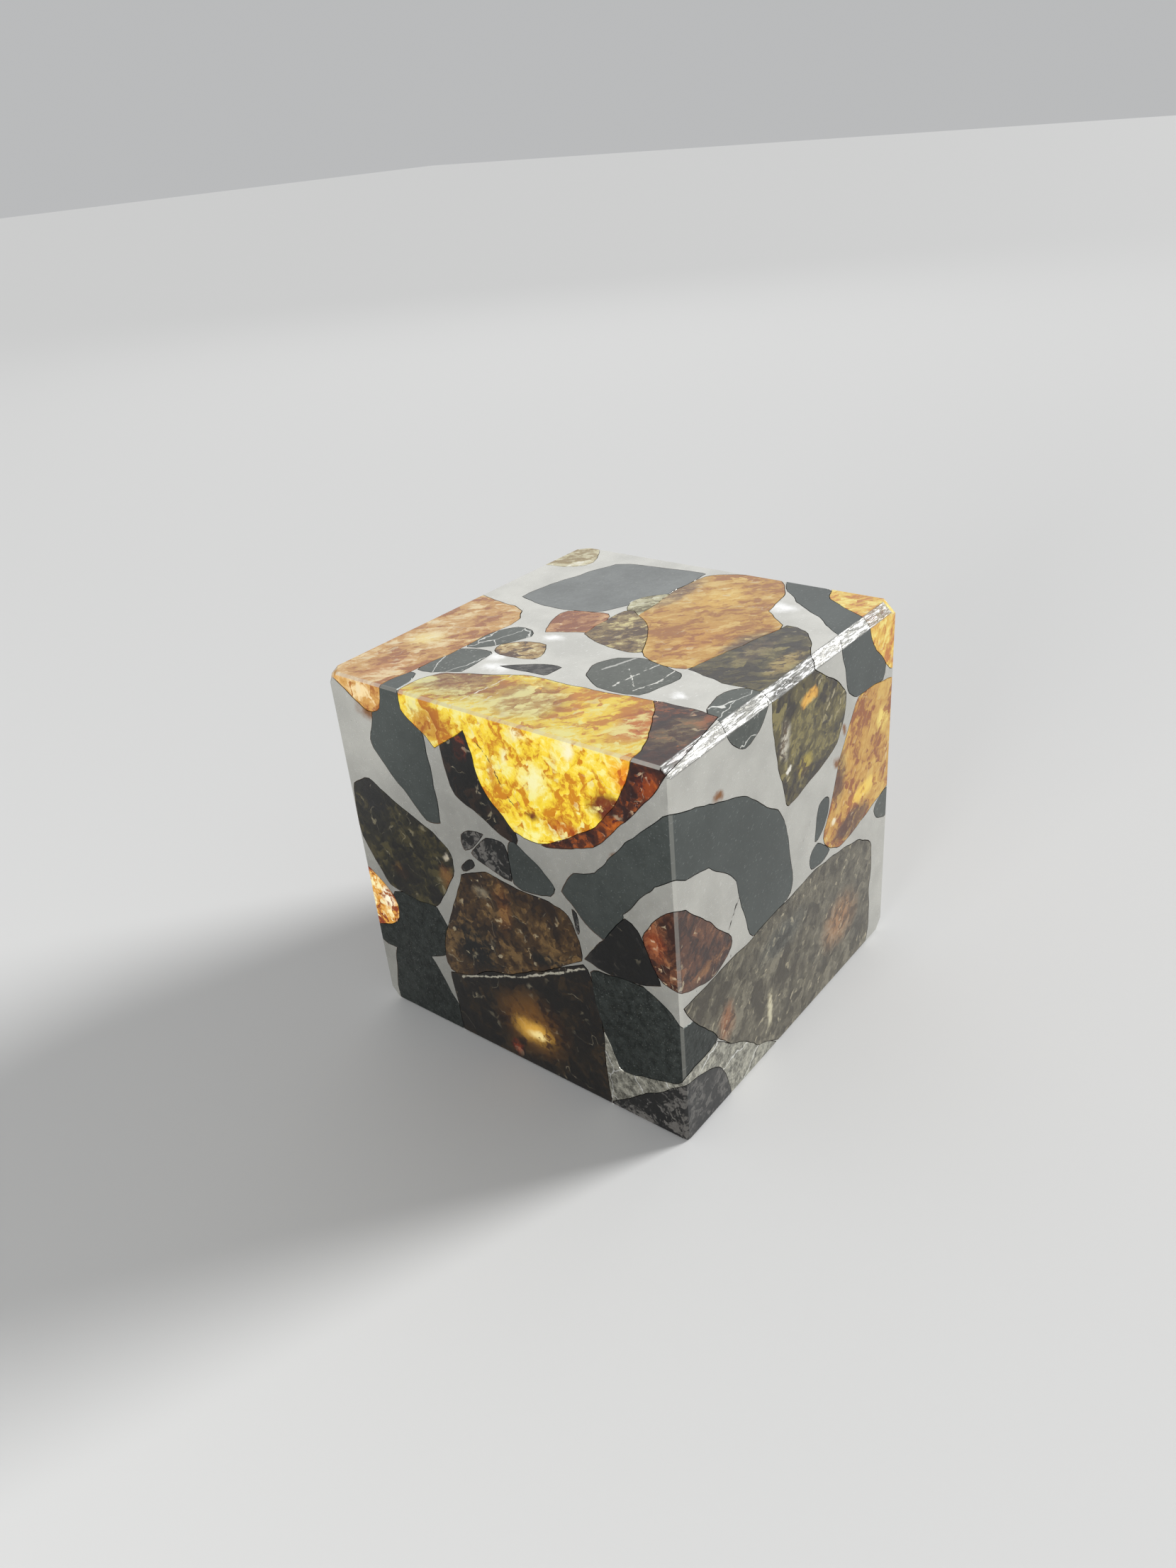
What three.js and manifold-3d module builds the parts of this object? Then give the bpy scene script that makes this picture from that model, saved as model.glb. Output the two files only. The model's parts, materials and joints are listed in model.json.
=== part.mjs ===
// A polished cube cut from a stony-iron meteorite: green-gold olivine crystals and grey plessite
// fields held in a skeleton of bright nickel-iron. Millimetres, +Z up, origin at the middle of the
// face that the cube rests on.
import * as THREE from 'three';
import { ConvexGeometry } from 'three/addons/geometries/ConvexGeometry.js';
import { mergeVertices } from 'three/addons/utils/BufferGeometryUtils.js';
import Module from 'manifold-3d';

// ---- Driving dimensions -------------------------------------------------------------------
const SIDE = 25;                 // edge length of the cube
const HALF = SIDE / 2;
const EDGE_BREAK = 0.14;         // the saw-cut edges, just broken by the polishing
const FRONT_TOP_CHAMFER = 0.55;  // the one edge that was ground to a wide flat
const CORNER_ROUND = 0.8;        // worn corners
const SHARP_CORNER = 0.3;        // the two crisp corners of the near upright edge
const SEAM = 0.04;               // clearance along every grain boundary
const RIM_STEPS = 2;             // steps of each rim curve from one outline point to the next
const TIP_SHARE = 0.28;          // how far a worn corner's tip sits in, as a share of its round
const FLAT_TIP_SHARE = 0.75;     // the same where the corner ends the ground flat

// ---- Tolerances ---------------------------------------------------------------------------
const WELD = 1e-5;               // points closer than this are one point
const STEADY = 0.002;            // keeps a nearly flat corner from moving without bound
const LEAST_SHARE = 0.25;        // the least share of the clearance that a corner is stretched from
const SAME_NORMAL = 0.9999;      // faces whose normals agree this well count as one face

// ---- The turns of a heart, which keep neighbouring hearts from lying alike --------------------
const HEART_TILT = 0.4;
const HEART_TURN = new THREE.Vector3(1, 0.7, 0.3);

// ---- Face coordinates: a flat outline on a face becomes points in space ---------------------
const FACES = {
  left: ([y, z]) => [-HALF, y, z],
  right: ([y, z]) => [HALF, y, z],
  front: ([x, z]) => [x, -HALF, z],
  back: ([x, z]) => [x, HALF, z],
  top: ([x, y]) => [x, y, SIDE],
  base: ([x, y]) => [x, y, 0],
};

const wasm = await Module();
wasm.setup();

// ---- Shape helpers ------------------------------------------------------------------------
function toVectors(points) {
  return points.map(([x, y, z]) => new THREE.Vector3(x, y, z));
}

function welded(geometry) {
  geometry.deleteAttribute('normal');
  if (geometry.hasAttribute('uv')) geometry.deleteAttribute('uv');
  return mergeVertices(geometry, WELD);
}

function toSolid(geometry) {
  const closed = welded(geometry);
  const vertProperties = new Float32Array(closed.attributes.position.array);
  const triVerts = new Uint32Array(closed.index.array);
  return new wasm.Manifold(new wasm.Mesh({ numProp: 3, vertProperties, triVerts }));
}

function toGeometry(solid) {
  const mesh = solid.getMesh();
  const geometry = new THREE.BufferGeometry();
  geometry.setAttribute('position', new THREE.BufferAttribute(mesh.vertProperties, 3));
  geometry.setIndex(new THREE.BufferAttribute(mesh.triVerts, 1));
  geometry.computeVertexNormals();
  return geometry;
}

// Boolean cuts can leave crumbs, so a grain is the largest connected lump of what is left.
function largestLump(solid) {
  const lumps = solid.decompose();
  return lumps.reduce((best, lump) => (lump.volume() > best.volume() ? lump : best));
}

// The move that takes a corner clear of all its faces: the least-squares answer to
// normal . move = clearance, stretched until the face that it clears least is cleared too.
function cornerMove(normals, clearance) {
  const sum = [0, 0, 0, 0, 0, 0, 0, 0, 0];
  const right = new THREE.Vector3();
  for (const normal of normals) {
    const n = normal.toArray();
    for (let i = 0; i < 9; i += 1) {
      sum[i] += n[i % 3] * n[Math.floor(i / 3)];
    }
    right.addScaledVector(normal, clearance);
  }
  for (const diagonal of [0, 4, 8]) {
    sum[diagonal] += STEADY;
  }
  const move = right.applyMatrix3(new THREE.Matrix3().fromArray(sum).invert());
  const least = Math.min(...normals.map((normal) => normal.dot(move)));
  return move.multiplyScalar(clearance / Math.max(least, clearance * LEAST_SHARE));
}

// The same convex lump with every face moved outwards by a clearance, used to cut its neighbours.
function grown(points, clearance) {
  const hull = welded(new ConvexGeometry(toVectors(points)));
  const position = hull.attributes.position;
  const corners = Array.from({ length: position.count }, (unused, i) => ({
    at: new THREE.Vector3().fromBufferAttribute(position, i),
    normals: [],
  }));
  for (let i = 0; i < hull.index.count; i += 3) {
    const [a, b, c] = [0, 1, 2].map((k) => corners[hull.index.getX(i + k)]);
    const normal = new THREE.Triangle(a.at, b.at, c.at).getNormal(new THREE.Vector3());
    for (const corner of [a, b, c]) {
      const isNew = corner.normals.every((known) => known.dot(normal) < SAME_NORMAL);
      if (isNew) corner.normals.push(normal);
    }
  }
  return new ConvexGeometry(corners.map(({ at, normals }) => {
    const move = cornerMove(normals, clearance);
    return at.clone().add(move);
  }));
}

// The inner end of a crystal: a rounded lump about its heart, so that walls taper inwards.
function heartPoints([x, y, z], radius) {
  const ball = new THREE.IcosahedronGeometry(radius, 0);
  ball.rotateX(HEART_TILT);
  ball.rotateZ(HEART_TURN.dot(new THREE.Vector3(x, y, z)));
  ball.translate(x, y, z);
  const position = ball.attributes.position;
  const points = [];
  for (let i = 0; i < position.count; i += 1) {
    points.push([position.getX(i), position.getY(i), position.getZ(i)]);
  }
  return points;
}

// A smooth rim through the outline's points, kept on its face. A rim that starts and ends on the
// cube's edges stays open there, and any other rim closes on itself.
function smoothRim(face, outline) {
  const at = outline.map(FACES[face]);
  const onEdge = (point) => point.filter((value, axis) => (axis < 2
    ? Math.abs(value) === HALF
    : value === 0 || value === SIDE)).length > 1;
  const open = onEdge(at[0]) && onEdge(at[at.length - 1]);
  const curve = new THREE.CatmullRomCurve3(toVectors(at), !open, 'centripetal');
  const steps = RIM_STEPS * (at.length - (open ? 1 : 0));
  const rim = curve.getPoints(steps).map(({ x, y, z }) => [
    THREE.MathUtils.clamp(x, -HALF, HALF),
    THREE.MathUtils.clamp(y, -HALF, HALF),
    THREE.MathUtils.clamp(z, 0, SIDE),
  ]);
  return open ? rim : rim.slice(0, -1);
}

function lumpPoints({ heart, radius, ...outlines }) {
  const rims = Object.entries(outlines).flatMap(([face, outline]) => smoothRim(face, outline));
  return [...rims, ...heartPoints(heart, radius)];
}

// ---- The cube itself ----------------------------------------------------------------------
// Every corner gives two points on each of its three edges and one on its rounded tip.
function blockPoints() {
  const points = [];
  for (const sx of [-1, 1]) {
    for (const sy of [-1, 1]) {
      for (const sz of [-1, 1]) {
        const crisp = sx < 0 && sy < 0;
        const run = crisp ? SHARP_CORNER : CORNER_ROUND;
        const tip = run * TIP_SHARE;
        const place = (dx, dy, dz) => points.push([
          sx * (HALF - dx),
          sy * (HALF - dy),
          sz > 0 ? SIDE - dz : dz,
        ]);
        const along = sy < 0 && sz > 0 ? FRONT_TOP_CHAMFER : EDGE_BREAK;
        const reach = Math.max(run, along);
        place(reach, along, 0);
        place(reach, 0, along);
        place(EDGE_BREAK, reach, 0);
        place(0, reach, EDGE_BREAK);
        place(EDGE_BREAK, 0, reach);
        place(0, EDGE_BREAK, reach);
        if (sy < 0 && sz > 0) {
          place(tip, along * FLAT_TIP_SHARE, along * FLAT_TIP_SHARE);
        } else {
          place(tip, tip, tip);
        }
      }
    }
  }
  return points;
}

const block = toSolid(new ConvexGeometry(toVectors(blockPoints())));

// ---- Finishes -----------------------------------------------------------------------------
function finish(name, color, roughness, metalness) {
  const material = new THREE.MeshStandardMaterial({ color, roughness, metalness });
  material.name = name;
  return material;
}

const KAMACITE = finish('kamacite', 0xcfcfc8, 0.22, 1);
const ETCHED = finish('kamacite_etched', 0xb9b7ab, 0.45, 1);
const PLESSITE = finish('plessite', 0x50595a, 0.25, 0.9);
const OLIVINE_GOLD = finish('olivine_gold', 0xd9a21b, 0.08, 0);
const OLIVINE_AMBER = finish('olivine_amber', 0x8a5a1c, 0.08, 0);
const OLIVINE_DARK = finish('olivine_dark', 0x2a2114, 0.08, 0);
const TROILITE = finish('troilite', 0x0e0d0c, 0.3, 0.3);

// ---- Grains, the first ones cutting the later ones -------------------------------------------
const GRAINS = [];
function grain(name, material, ...lumps) {
  GRAINS.push({ name, material, lumps: lumps.map(lumpPoints) });
}

// Top left edge: the clear gold crystal that shows on two faces, and its dark amber rim.
grain('olivine_gold_edge', OLIVINE_GOLD, {
  left: [[2, 25], [1.7, 24.2], [1.4, 23.3], [0.9, 22.4], [0.8, 21.3], [0.5, 20.4], [-0.1, 19.5],
    [-1.3, 18.8], [-1.6, 17.9], [-3.2, 17.8], [-4.8, 18.5], [-6.2, 19.3], [-7.6, 20.3],
    [-8.4, 21.3], [-9.1, 22.3], [-9.9, 23.5], [-10.2, 25]],
  top: [[-7.6, 1.6], [-7.4, -0.5], [-7.1, -2.6], [-6.9, -4.4], [-6.8, -6.4], [-6.7, -7.4],
    [-8.6, -8.7], [-10.4, -9.7], [-12.5, -10.2], [-12.5, 1.3]],
  heart: [-9.2, -3.6, 21.6],
  radius: 1.6,
}, {
  left: [[6.4, 25], [6.3, 23.8], [5.2, 22.9], [4.2, 22.1], [3.9, 21.9], [3.4, 22.4], [2.6, 23.2],
    [1.9, 24], [1.3, 24.5], [0.9, 25]],
  top: [[-12.5, 6.4], [-10.8, 6.4], [-10, 6], [-9.4, 5.4], [-9.2, 4.6], [-8.6, 3.4], [-7.9, 2.3],
    [-7.6, 1.6], [-7.5, 0.6], [-12.5, -0.1]],
  heart: [-10.4, 2.4, 23.2],
  radius: 0.9,
});
grain('olivine_amber_rim', OLIVINE_AMBER, {
  left: [[-3.5, 17.8], [-4.4, 17.9], [-5.8, 18.2], [-7.3, 18.9], [-8.7, 20.1], [-9.6, 21.1],
    [-10.5, 22.2], [-11.4, 23.3], [-12.1, 24.3], [-12.4, 25], [-10.2, 25], [-6.2, 19.3]],
  top: [[-10.4, -9.7], [-8.6, -8.7], [-6.7, -7.4], [-6.6, -9.2], [-6.5, -11.5], [-12.1, -11.7]],
  heart: [-9, -7.6, 20.6],
  radius: 1.2,
});

// Top face: the crown crystal, its pale nose, and the spear that runs over the ground edge.
grain('olivine_spear', OLIVINE_DARK, {
  front: [[-2.9, 25], [-2.7, 23.6], [-2.6, 22.4], [-2.3, 20.9], [-1.8, 19.3], [-1.5, 18.4],
    [-1.2, 17.3], [-0.8, 17], [0.5, 17.2], [2.4, 17.7], [4.1, 18], [4.9, 18.4], [5.3, 19],
    [5.7, 19.9], [6, 21.3], [5.5, 21.9], [4.8, 22.6], [3.9, 23.1], [2.6, 23.7], [1.7, 24.3],
    [0.8, 25]],
  top: [[-2.2, -6.8], [-2.3, -12.5], [1, -12.5], [3, -11.7], [4.8, -10.5], [5.5, -9.9],
    [5.6, -8.6], [4.4, -8.5], [2.3, -8.2], [-0.2, -7.4]],
  heart: [1.2, -9.6, 20.4],
  radius: 1.5,
});
grain('olivine_brown_north', OLIVINE_DARK, {
  top: [[-0.8, 1.7], [1.7, 1.9], [3.5, 1.9], [3.8, 1.3], [3, 0.6], [2.3, -0.7], [0.8, -1.7],
    [-1.7, -3], [-1.9, -2.3], [-1.8, -0.8], [-1.4, 0.4]],
  heart: [0.5, 0, 22.4],
  radius: 0.9,
});
grain('olivine_crown', OLIVINE_GOLD, {
  top: [[2.4, -0.5], [3.1, 0.5], [7.1, 0.8], [9.2, 0.9], [10.8, 0.6], [11.6, -0.1],
    [12.5, -2.3], [12.5, -4.1], [11.9, -4.8], [10.7, -5.7], [9.1, -6], [7.6, -6.2],
    [3, -6.6]],
  right: [[-2.3, 25], [-2.2, 23.4], [-3, 22.5], [-3.8, 23.1], [-4.1, 25]],
  heart: [7.2, -2.6, 20.4],
  radius: 1.4,
}, {
  top: [[-2.2, -6.6], [-2.3, -4.1], [-1.7, -3.1], [-0.6, -2.6], [1.2, -1.6], [2.4, -0.5],
    [6.6, -3], [7.6, -6.2], [6.7, -6.7], [6, -7.6], [5.6, -8.3], [4.4, -8.4], [2.3, -8.2],
    [-0.2, -7.3]],
  heart: [2.6, -4.6, 20],
  radius: 1.4,
});
grain('olivine_pale_nose', OLIVINE_GOLD, {
  top: [[3.1, 0.5], [3.5, 1.6], [4.8, 2.5], [5.9, 2.2], [6.7, 1.5], [7.1, 0.8], [4.8, 0.2]],
  heart: [4.9, 1.3, 23.4],
  radius: 0.5,
});
grain('olivine_amber_north', OLIVINE_AMBER, {
  top: [[-1.7, 4.2], [-0.6, 4.8], [0.5, 5.2], [1.6, 5.1], [2.1, 4], [2.6, 2.6], [1.7, 2],
    [-0.6, 1.7], [-0.9, 3.1]],
  heart: [0.5, 3.4, 22.6],
  radius: 0.9,
});
grain('olivine_back_edge', OLIVINE_GOLD, {
  left: [[11.2, 25], [10.4, 24.1], [9.7, 23.2], [8.9, 23], [8.3, 23.4], [7.9, 25]],
  top: [[-12.5, 12.5], [-12.5, 8.7], [-11.3, 8.3], [-10.1, 7.9], [-7.6, 8.2], [-3.6, 7.7],
    [-1.7, 7], [0.3, 7.9], [1, 10.1], [1.5, 12.5]],
  back: [[-12.1, 25], [-10.8, 21], [-7.2, 18], [-3.2, 18.4], [-0.4, 20.6], [1.1, 23.4],
    [1.5, 25]],
  heart: [-5, 9.4, 21],
  radius: 1.2,
});
grain('olivine_north_east', OLIVINE_GOLD, {
  top: [[8, 12.5], [8.2, 11.1], [9.2, 9.6], [10.8, 9.9], [12.5, 10.9], [12.5, 12.5]],
  back: [[8, 25], [8.7, 22.9], [10.9, 21.7], [12.5, 22]],
  right: [[10.9, 25], [11.3, 22.9], [12.5, 22]],
  heart: [10.6, 10.8, 23.2],
  radius: 0.5,
});
grain('olivine_seed', OLIVINE_GOLD, {
  top: [[-5.4, 5.2], [-4.5, 5.4], [-3.8, 4.8], [-3.4, 4], [-3.4, 2.9], [-4.2, 2.3], [-5.2, 2.3],
    [-5.5, 3.4], [-5.7, 4.5]],
  heart: [-4.5, 3.8, 23.4],
  radius: 0.7,
});

// Right-hand edge of the front face.
grain('olivine_east_tip', OLIVINE_GOLD, {
  front: [[8.8, 25], [9.2, 23.8], [9.9, 22.7], [10.7, 21.8], [11.4, 21], [12.5, 20.4],
    [12.5, 25]],
  top: [[9.1, -12.5], [10.1, -10.9], [10.3, -9.9], [10.8, -8.8], [11.9, -8.3], [12.5, -8]],
  right: [[-12.5, 20.4], [-11.2, 20.8], [-9.6, 22.2], [-8.4, 23.8], [-8, 25]],
  heart: [11.2, -11, 23.2],
  radius: 0.6,
});
grain('olivine_east', OLIVINE_GOLD, {
  front: [[7.6, 20.2], [9.4, 19.7], [10.8, 19.9], [12.5, 19.8], [12.5, 11.8], [10.7, 11.7],
    [8.9, 11.3], [7.4, 10.8], [6.2, 10.7], [5.3, 10.8], [4.4, 11.3], [3.7, 12], [3.6, 13],
    [4.1, 13.7], [4.5, 14.2], [4.8, 15.6], [5.5, 17], [6.2, 18.4], [6.8, 19.5]],
  right: [[-12.5, 19.8], [-10.5, 20], [-8.4, 18.9], [-7.2, 16.9], [-7.5, 14.6], [-9.1, 12.8],
    [-11, 11.9], [-12.5, 11.8]],
  heart: [8.6, -8.6, 15.4],
  radius: 1.6,
});

// Lower front and the near upright edge.
grain('olivine_south', OLIVINE_DARK, {
  front: [[-12.2, 9.8], [-7.7, 9.8], [-4.5, 9.9], [-0.9, 10.2], [0.5, 10.5], [2.4, 10.5],
    [4.1, 10.4], [6.2, 10.2], [7.4, 9.8], [8.9, 9.2], [9.9, 8.7], [10.4, 8.1], [10.2, 5.9],
    [10.2, 4.2], [10.1, 2.4], [10.1, 0], [-1.7, 0], [-2.4, 0.4], [-4.5, 1.7], [-5.9, 2.8],
    [-7.2, 3.9], [-8.4, 4.8], [-9.1, 5.4], [-9.9, 6.7], [-10.4, 7.6], [-11.3, 8.6]],
  base: [[10.1, -12.5], [9.2, -7.9], [6.2, -4.9], [1.6, -4.6], [-0.9, -7.6], [-1.7, -12.5]],
  heart: [2.6, -7.4, 5],
  radius: 1.8,
});
grain('olivine_red', OLIVINE_AMBER, {
  left: [[-12.5, 16.6], [-11.9, 16.2], [-11.2, 15.6], [-10.6, 14.9], [-10.2, 14], [-10.5, 13],
    [-10.9, 12], [-11.4, 11.4], [-12.5, 11]],
  front: [[-11.6, 16.1], [-11.1, 15.4], [-10.2, 14.3], [-9.3, 13.4], [-7.9, 12.4],
    [-7.4, 11.7], [-7.5, 11], [-8.3, 10.4], [-9.5, 10.2], [-10.9, 10.6], [-12.5, 11]],
  heart: [-10.4, -10.6, 12.8],
  radius: 0.8,
});
grain('olivine_black_wedge', OLIVINE_DARK, {
  left: [[-9.2, 14.7], [-9.9, 14.3], [-10.1, 13.8], [-10.5, 12.7], [-11, 11.7], [-11.2, 11.1],
    [-10.1, 10.8], [-8.3, 10.4], [-5.9, 10.8], [-7.4, 12.6], [-8.6, 14]],
  heart: [-10.8, -9, 12],
  radius: 0.7,
});
grain('troilite_corner', TROILITE, {
  left: [[-12.5, 3.4], [-10.8, 2.8], [-8.7, 1.4], [-7.1, 0.3], [-7.1, 0]],
  front: [[-12.5, 4.4], [-10.9, 4], [-9.5, 3.4], [-8.8, 2.9], [-8.1, 1.5], [-7.7, 0.6],
    [-7.6, 0]],
  base: [[-12.5, -12.5], [-12.5, -7.1], [-9.6, -8.4], [-7.6, -12.5]],
  heart: [-10.4, -10.6, 1.6],
  radius: 0.6,
});
grain('plessite_corner', PLESSITE, {
  left: [[-6.3, 9.8], [-6.9, 10.2], [-8.3, 10.3], [-10.1, 10.6], [-11, 9.9], [-12.5, 8.7],
    [-12.5, 5.1], [-11.9, 4.3], [-11, 4.1], [-9.9, 3.6], [-8, 3.2], [-7.7, 3.4], [-7.3, 4.7],
    [-6.9, 5.8], [-6.6, 7.7]],
  front: [[-12.5, 8.7], [-12, 8.6], [-11.3, 8.4], [-10.8, 7.7], [-10.1, 7.2], [-9.6, 6.2],
    [-9.2, 5.3], [-10.4, 5.2], [-12.5, 5.1]],
  heart: [-10.4, -9.6, 6.6],
  radius: 1,
});
grain('kamacite_etched_band', ETCHED, {
  left: [[-6.9, 5.9], [-12.5, 5.1], [-12.5, 3.4], [-10.8, 2.8], [-8.7, 1.4], [-7.1, 0.3],
    [-7, 2.4]],
  front: [[-12.5, 5.1], [-10.4, 5.3], [-9.1, 5.1], [-8.3, 4.5], [-7.2, 3.8], [-5.9, 2.7],
    [-4.7, 1.8], [-3.8, 1.1], [-2.9, 0.6], [-2.4, 0], [-7.6, 0], [-12.5, 4.4]],
  heart: [-9.4, -9.6, 3.6],
  radius: 0.7,
});

// Left face, from its upper edge down.
grain('olivine_black_west', OLIVINE_DARK, {
  left: [[2, 24], [2.6, 23.1], [3.4, 22.5], [3.4, 21.5], [3.3, 20.4], [2.9, 19.3], [1.7, 18.6],
    [0.6, 18], [-0.5, 17.4], [-1.6, 17.1], [-1.7, 17.9], [0.6, 20.4], [0.9, 22.6],
    [1.4, 23.4]],
  heart: [-10.2, 1.4, 20.4],
  radius: 0.8,
});
grain('plessite_ridge', PLESSITE, {
  left: [[7.9, 25], [8.3, 23.4], [8.7, 22.6], [9.2, 21.7], [9.5, 21], [9.4, 20.4],
    [8.9, 19.9], [7.7, 18.9], [6.8, 17.9], [6.2, 17.1], [5.7, 16.6], [5.1, 16.7],
    [4.6, 16.8], [4.7, 18.4], [4.9, 20.4], [4.8, 21.7], [4.8, 22.4], [5.2, 22.9],
    [5.9, 23.5], [6.3, 24.2], [6.6, 25]],
  top: [[-12.5, 8.4], [-11.5, 8.1], [-10.2, 7.7], [-10.3, 7.2], [-11.3, 6.7], [-12.5, 6.6]],
  heart: [-10.4, 6.8, 20],
  radius: 0.9,
});
grain('olivine_west', OLIVINE_DARK, {
  left: [[12, 17.3], [11.3, 17.7], [10.3, 18], [9.7, 17.7], [8.8, 16.9], [7.7, 16.2],
    [6.9, 15.9], [5.9, 15.8], [5.1, 15.4], [4.3, 14.9], [4, 14.2], [4.1, 13.4], [4.5, 12.5],
    [5.1, 11.5], [5.9, 10.4], [6.3, 9.9], [8.6, 9.9], [10.4, 10.2], [11.4, 12], [12.2, 13.3],
    [12.3, 14.9], [12.2, 16.3]],
  heart: [-7.6, 8, 13.8],
  radius: 1.6,
});
grain('olivine_west_core', OLIVINE_DARK, {
  left: [[3.4, 13.3], [2.4, 13.7], [1.3, 14.1], [-0.8, 13.8], [-3.5, 13.9], [-4.8, 13.3],
    [-5.4, 12.5], [-5.6, 11.5], [-5.6, 10.5], [4.5, 5.3], [5.8, 5.1], [6.1, 6.3],
    [5.9, 7.6], [5.4, 8.6], [4.7, 9.9], [4.1, 11.5]],
  heart: [-7.4, 0.6, 10.6],
  radius: 1.6,
});
grain('olivine_west_base', OLIVINE_DARK, {
  left: [[-5.7, 10.2], [-6.2, 9.5], [-6.6, 7.7], [-6.8, 5.9], [-6.8, 4.2], [-6.9, 2.4],
    [-6.9, 0], [5.4, 0], [5.4, 1.8], [5.6, 3.3], [5.8, 4.8], [4.5, 5]],
  base: [[-12.5, 5.4], [-9.2, 5], [-6.8, 2.4], [-6.4, -1.4], [-7.8, -5], [-12.5, -6.9]],
  heart: [-8, -1, 4.4],
  radius: 1.4,
});
grain('olivine_west_edge', OLIVINE_GOLD, {
  left: [[12.5, 11], [11.7, 10.5], [10.8, 9.9], [10.2, 9.2], [10, 8.2], [10.4, 7.2],
    [11.3, 6.6], [12.5, 6.2]],
  back: [[-12.5, 11], [-11, 10.8], [-9.8, 9.4], [-9.9, 7.6], [-11, 6.4], [-12.5, 6.2]],
  heart: [-11.2, 11.2, 8.6],
  radius: 0.6,
});
grain('plessite_west_low', PLESSITE, {
  left: [[10.1, 9.7], [6.2, 9.8], [6.2, 9.1], [5.5, 8.6], [5.8, 7.7], [6.1, 6.3], [6.5, 6.2],
    [7.6, 5.4], [10.9, 4.8], [12.5, 5], [12.5, 6], [10.8, 6.6], [10, 7.6]],
  heart: [-9.6, 8.4, 6.8],
  radius: 0.9,
}, {
  left: [[10.9, 4.8], [7.6, 5.5], [7.6, 4.6], [7, 3.6], [5.9, 2.4], [5.6, 1.8], [5.6, 0],
    [11.6, 0], [11.4, 2.4], [11.2, 3.6]],
  base: [[-12.5, 11.6], [-10, 10.4], [-8.8, 8.4], [-9.6, 6.4], [-12.5, 5.6]],
  heart: [-10, 8.4, 3.4],
  radius: 0.8,
});
grain('troilite_wedge', TROILITE, {
  left: [[-0.1, 16.9], [-0.6, 16.7], [-0.8, 15.6], [-0.8, 14.8], [-0.8, 14.4], [0.6, 14.5],
    [1.7, 14.9], [2.1, 15.3], [1.7, 15.9], [0.8, 16.7]],
  heart: [-11.2, 0.4, 15.6],
  radius: 0.4,
});
grain('plessite_west_mid', PLESSITE, {
  left: [[-1.2, 17.1], [-1.7, 17], [-2.2, 16.2], [-3, 15.9], [-3.7, 15.6], [-4.1, 15],
    [-3.7, 14.4], [-2.4, 14.1], [-1, 14.3], [-0.9, 15.1], [-0.8, 15.9], [-0.9, 16.7]],
  heart: [-10.8, -2.4, 15.3],
  radius: 0.5,
});
grain('troilite_west_upper', TROILITE, {
  left: [[2.9, 16.4], [2.2, 16.8], [1.1, 16.9], [1.5, 16.4], [2, 15.8], [2.6, 15.4],
    [2.8, 15.6]],
  heart: [-12, 2.2, 16.2],
  radius: 0.2,
});
grain('troilite_west_lower', TROILITE, {
  left: [[2.2, 14.7], [2.1, 14.4], [2.5, 14], [3.1, 13.7], [3.2, 13.9], [2.9, 14.3],
    [2.6, 14.6]],
  heart: [-12.1, 2.6, 14.2],
  radius: 0.15,
});
grain('troilite_sliver', TROILITE, {
  left: [[-5.2, 13.9], [-5.5, 13.8], [-5.7, 13.1], [-5.75, 12.7], [-5.6, 12.5], [-5.4, 13.1]],
  heart: [-12.1, -5.5, 13.2],
  radius: 0.12,
});

// The hooked plessite field that wraps the near upright edge.
grain('plessite_hook', PLESSITE, {
  left: [[-5.8, 16.5], [-5.3, 15.8], [-4.6, 15], [-5.3, 14.3], [-6.2, 13.4], [-7.3, 12.8],
    [-8, 13], [-8.7, 13.8], [-9.1, 14.8], [-9, 15.9], [-8.8, 17.6], [-7.6, 17.4],
    [-6.7, 16.8]],
  heart: [-11, -7.8, 15.4],
  radius: 0.8,
}, {
  left: [[-6.9, 16.9], [-7.6, 17.4], [-8.6, 18.4], [-9.6, 19.5], [-10.8, 20.6], [-11.3, 18],
    [-10.3, 17.5], [-9.4, 16.6], [-9, 15.8], [-9.1, 15]],
  heart: [-10.7, -9.2, 17.4],
  radius: 0.9,
}, {
  left: [[-9, 18.9], [-9.6, 19.5], [-11.4, 21.7], [-12.5, 22.6], [-12.5, 18.6],
    [-10.3, 17.5], [-9.9, 17.3]],
  front: [[-11.5, 21.9], [-9.9, 21.4], [-8.4, 21], [-7.4, 17.2], [-8.4, 17.7],
    [-10.1, 17.8], [-12.5, 18.6]],
  heart: [-10, -10, 19.4],
  radius: 1,
}, {
  front: [[-10.4, 21.5], [-9.9, 21.4], [-6.5, 20.5], [-5.4, 19.9], [-3.6, 18.2], [-3.1, 17.9],
    [-6.2, 14.6], [-6.7, 15.9], [-7.6, 16.9], [-8.4, 17.7], [-9.4, 17.8]],
  heart: [-6.8, -10, 18],
  radius: 1,
}, {
  front: [[-4.6, 19.2], [-3.6, 18.2], [-2.6, 17.7], [-1.7, 16.8], [-1.1, 15.9], [-0.9, 14.2],
    [-0.6, 12.7], [-0.4, 11.5], [-0.6, 10.8], [-1.7, 10.4], [-4.7, 10.2], [-5.4, 10.8],
    [-5.8, 11.8], [-6, 13.3], [-6.5, 15.2], [-6.9, 16.2]],
  heart: [-3.4, -9.6, 14.2],
  radius: 1.1,
});
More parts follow.
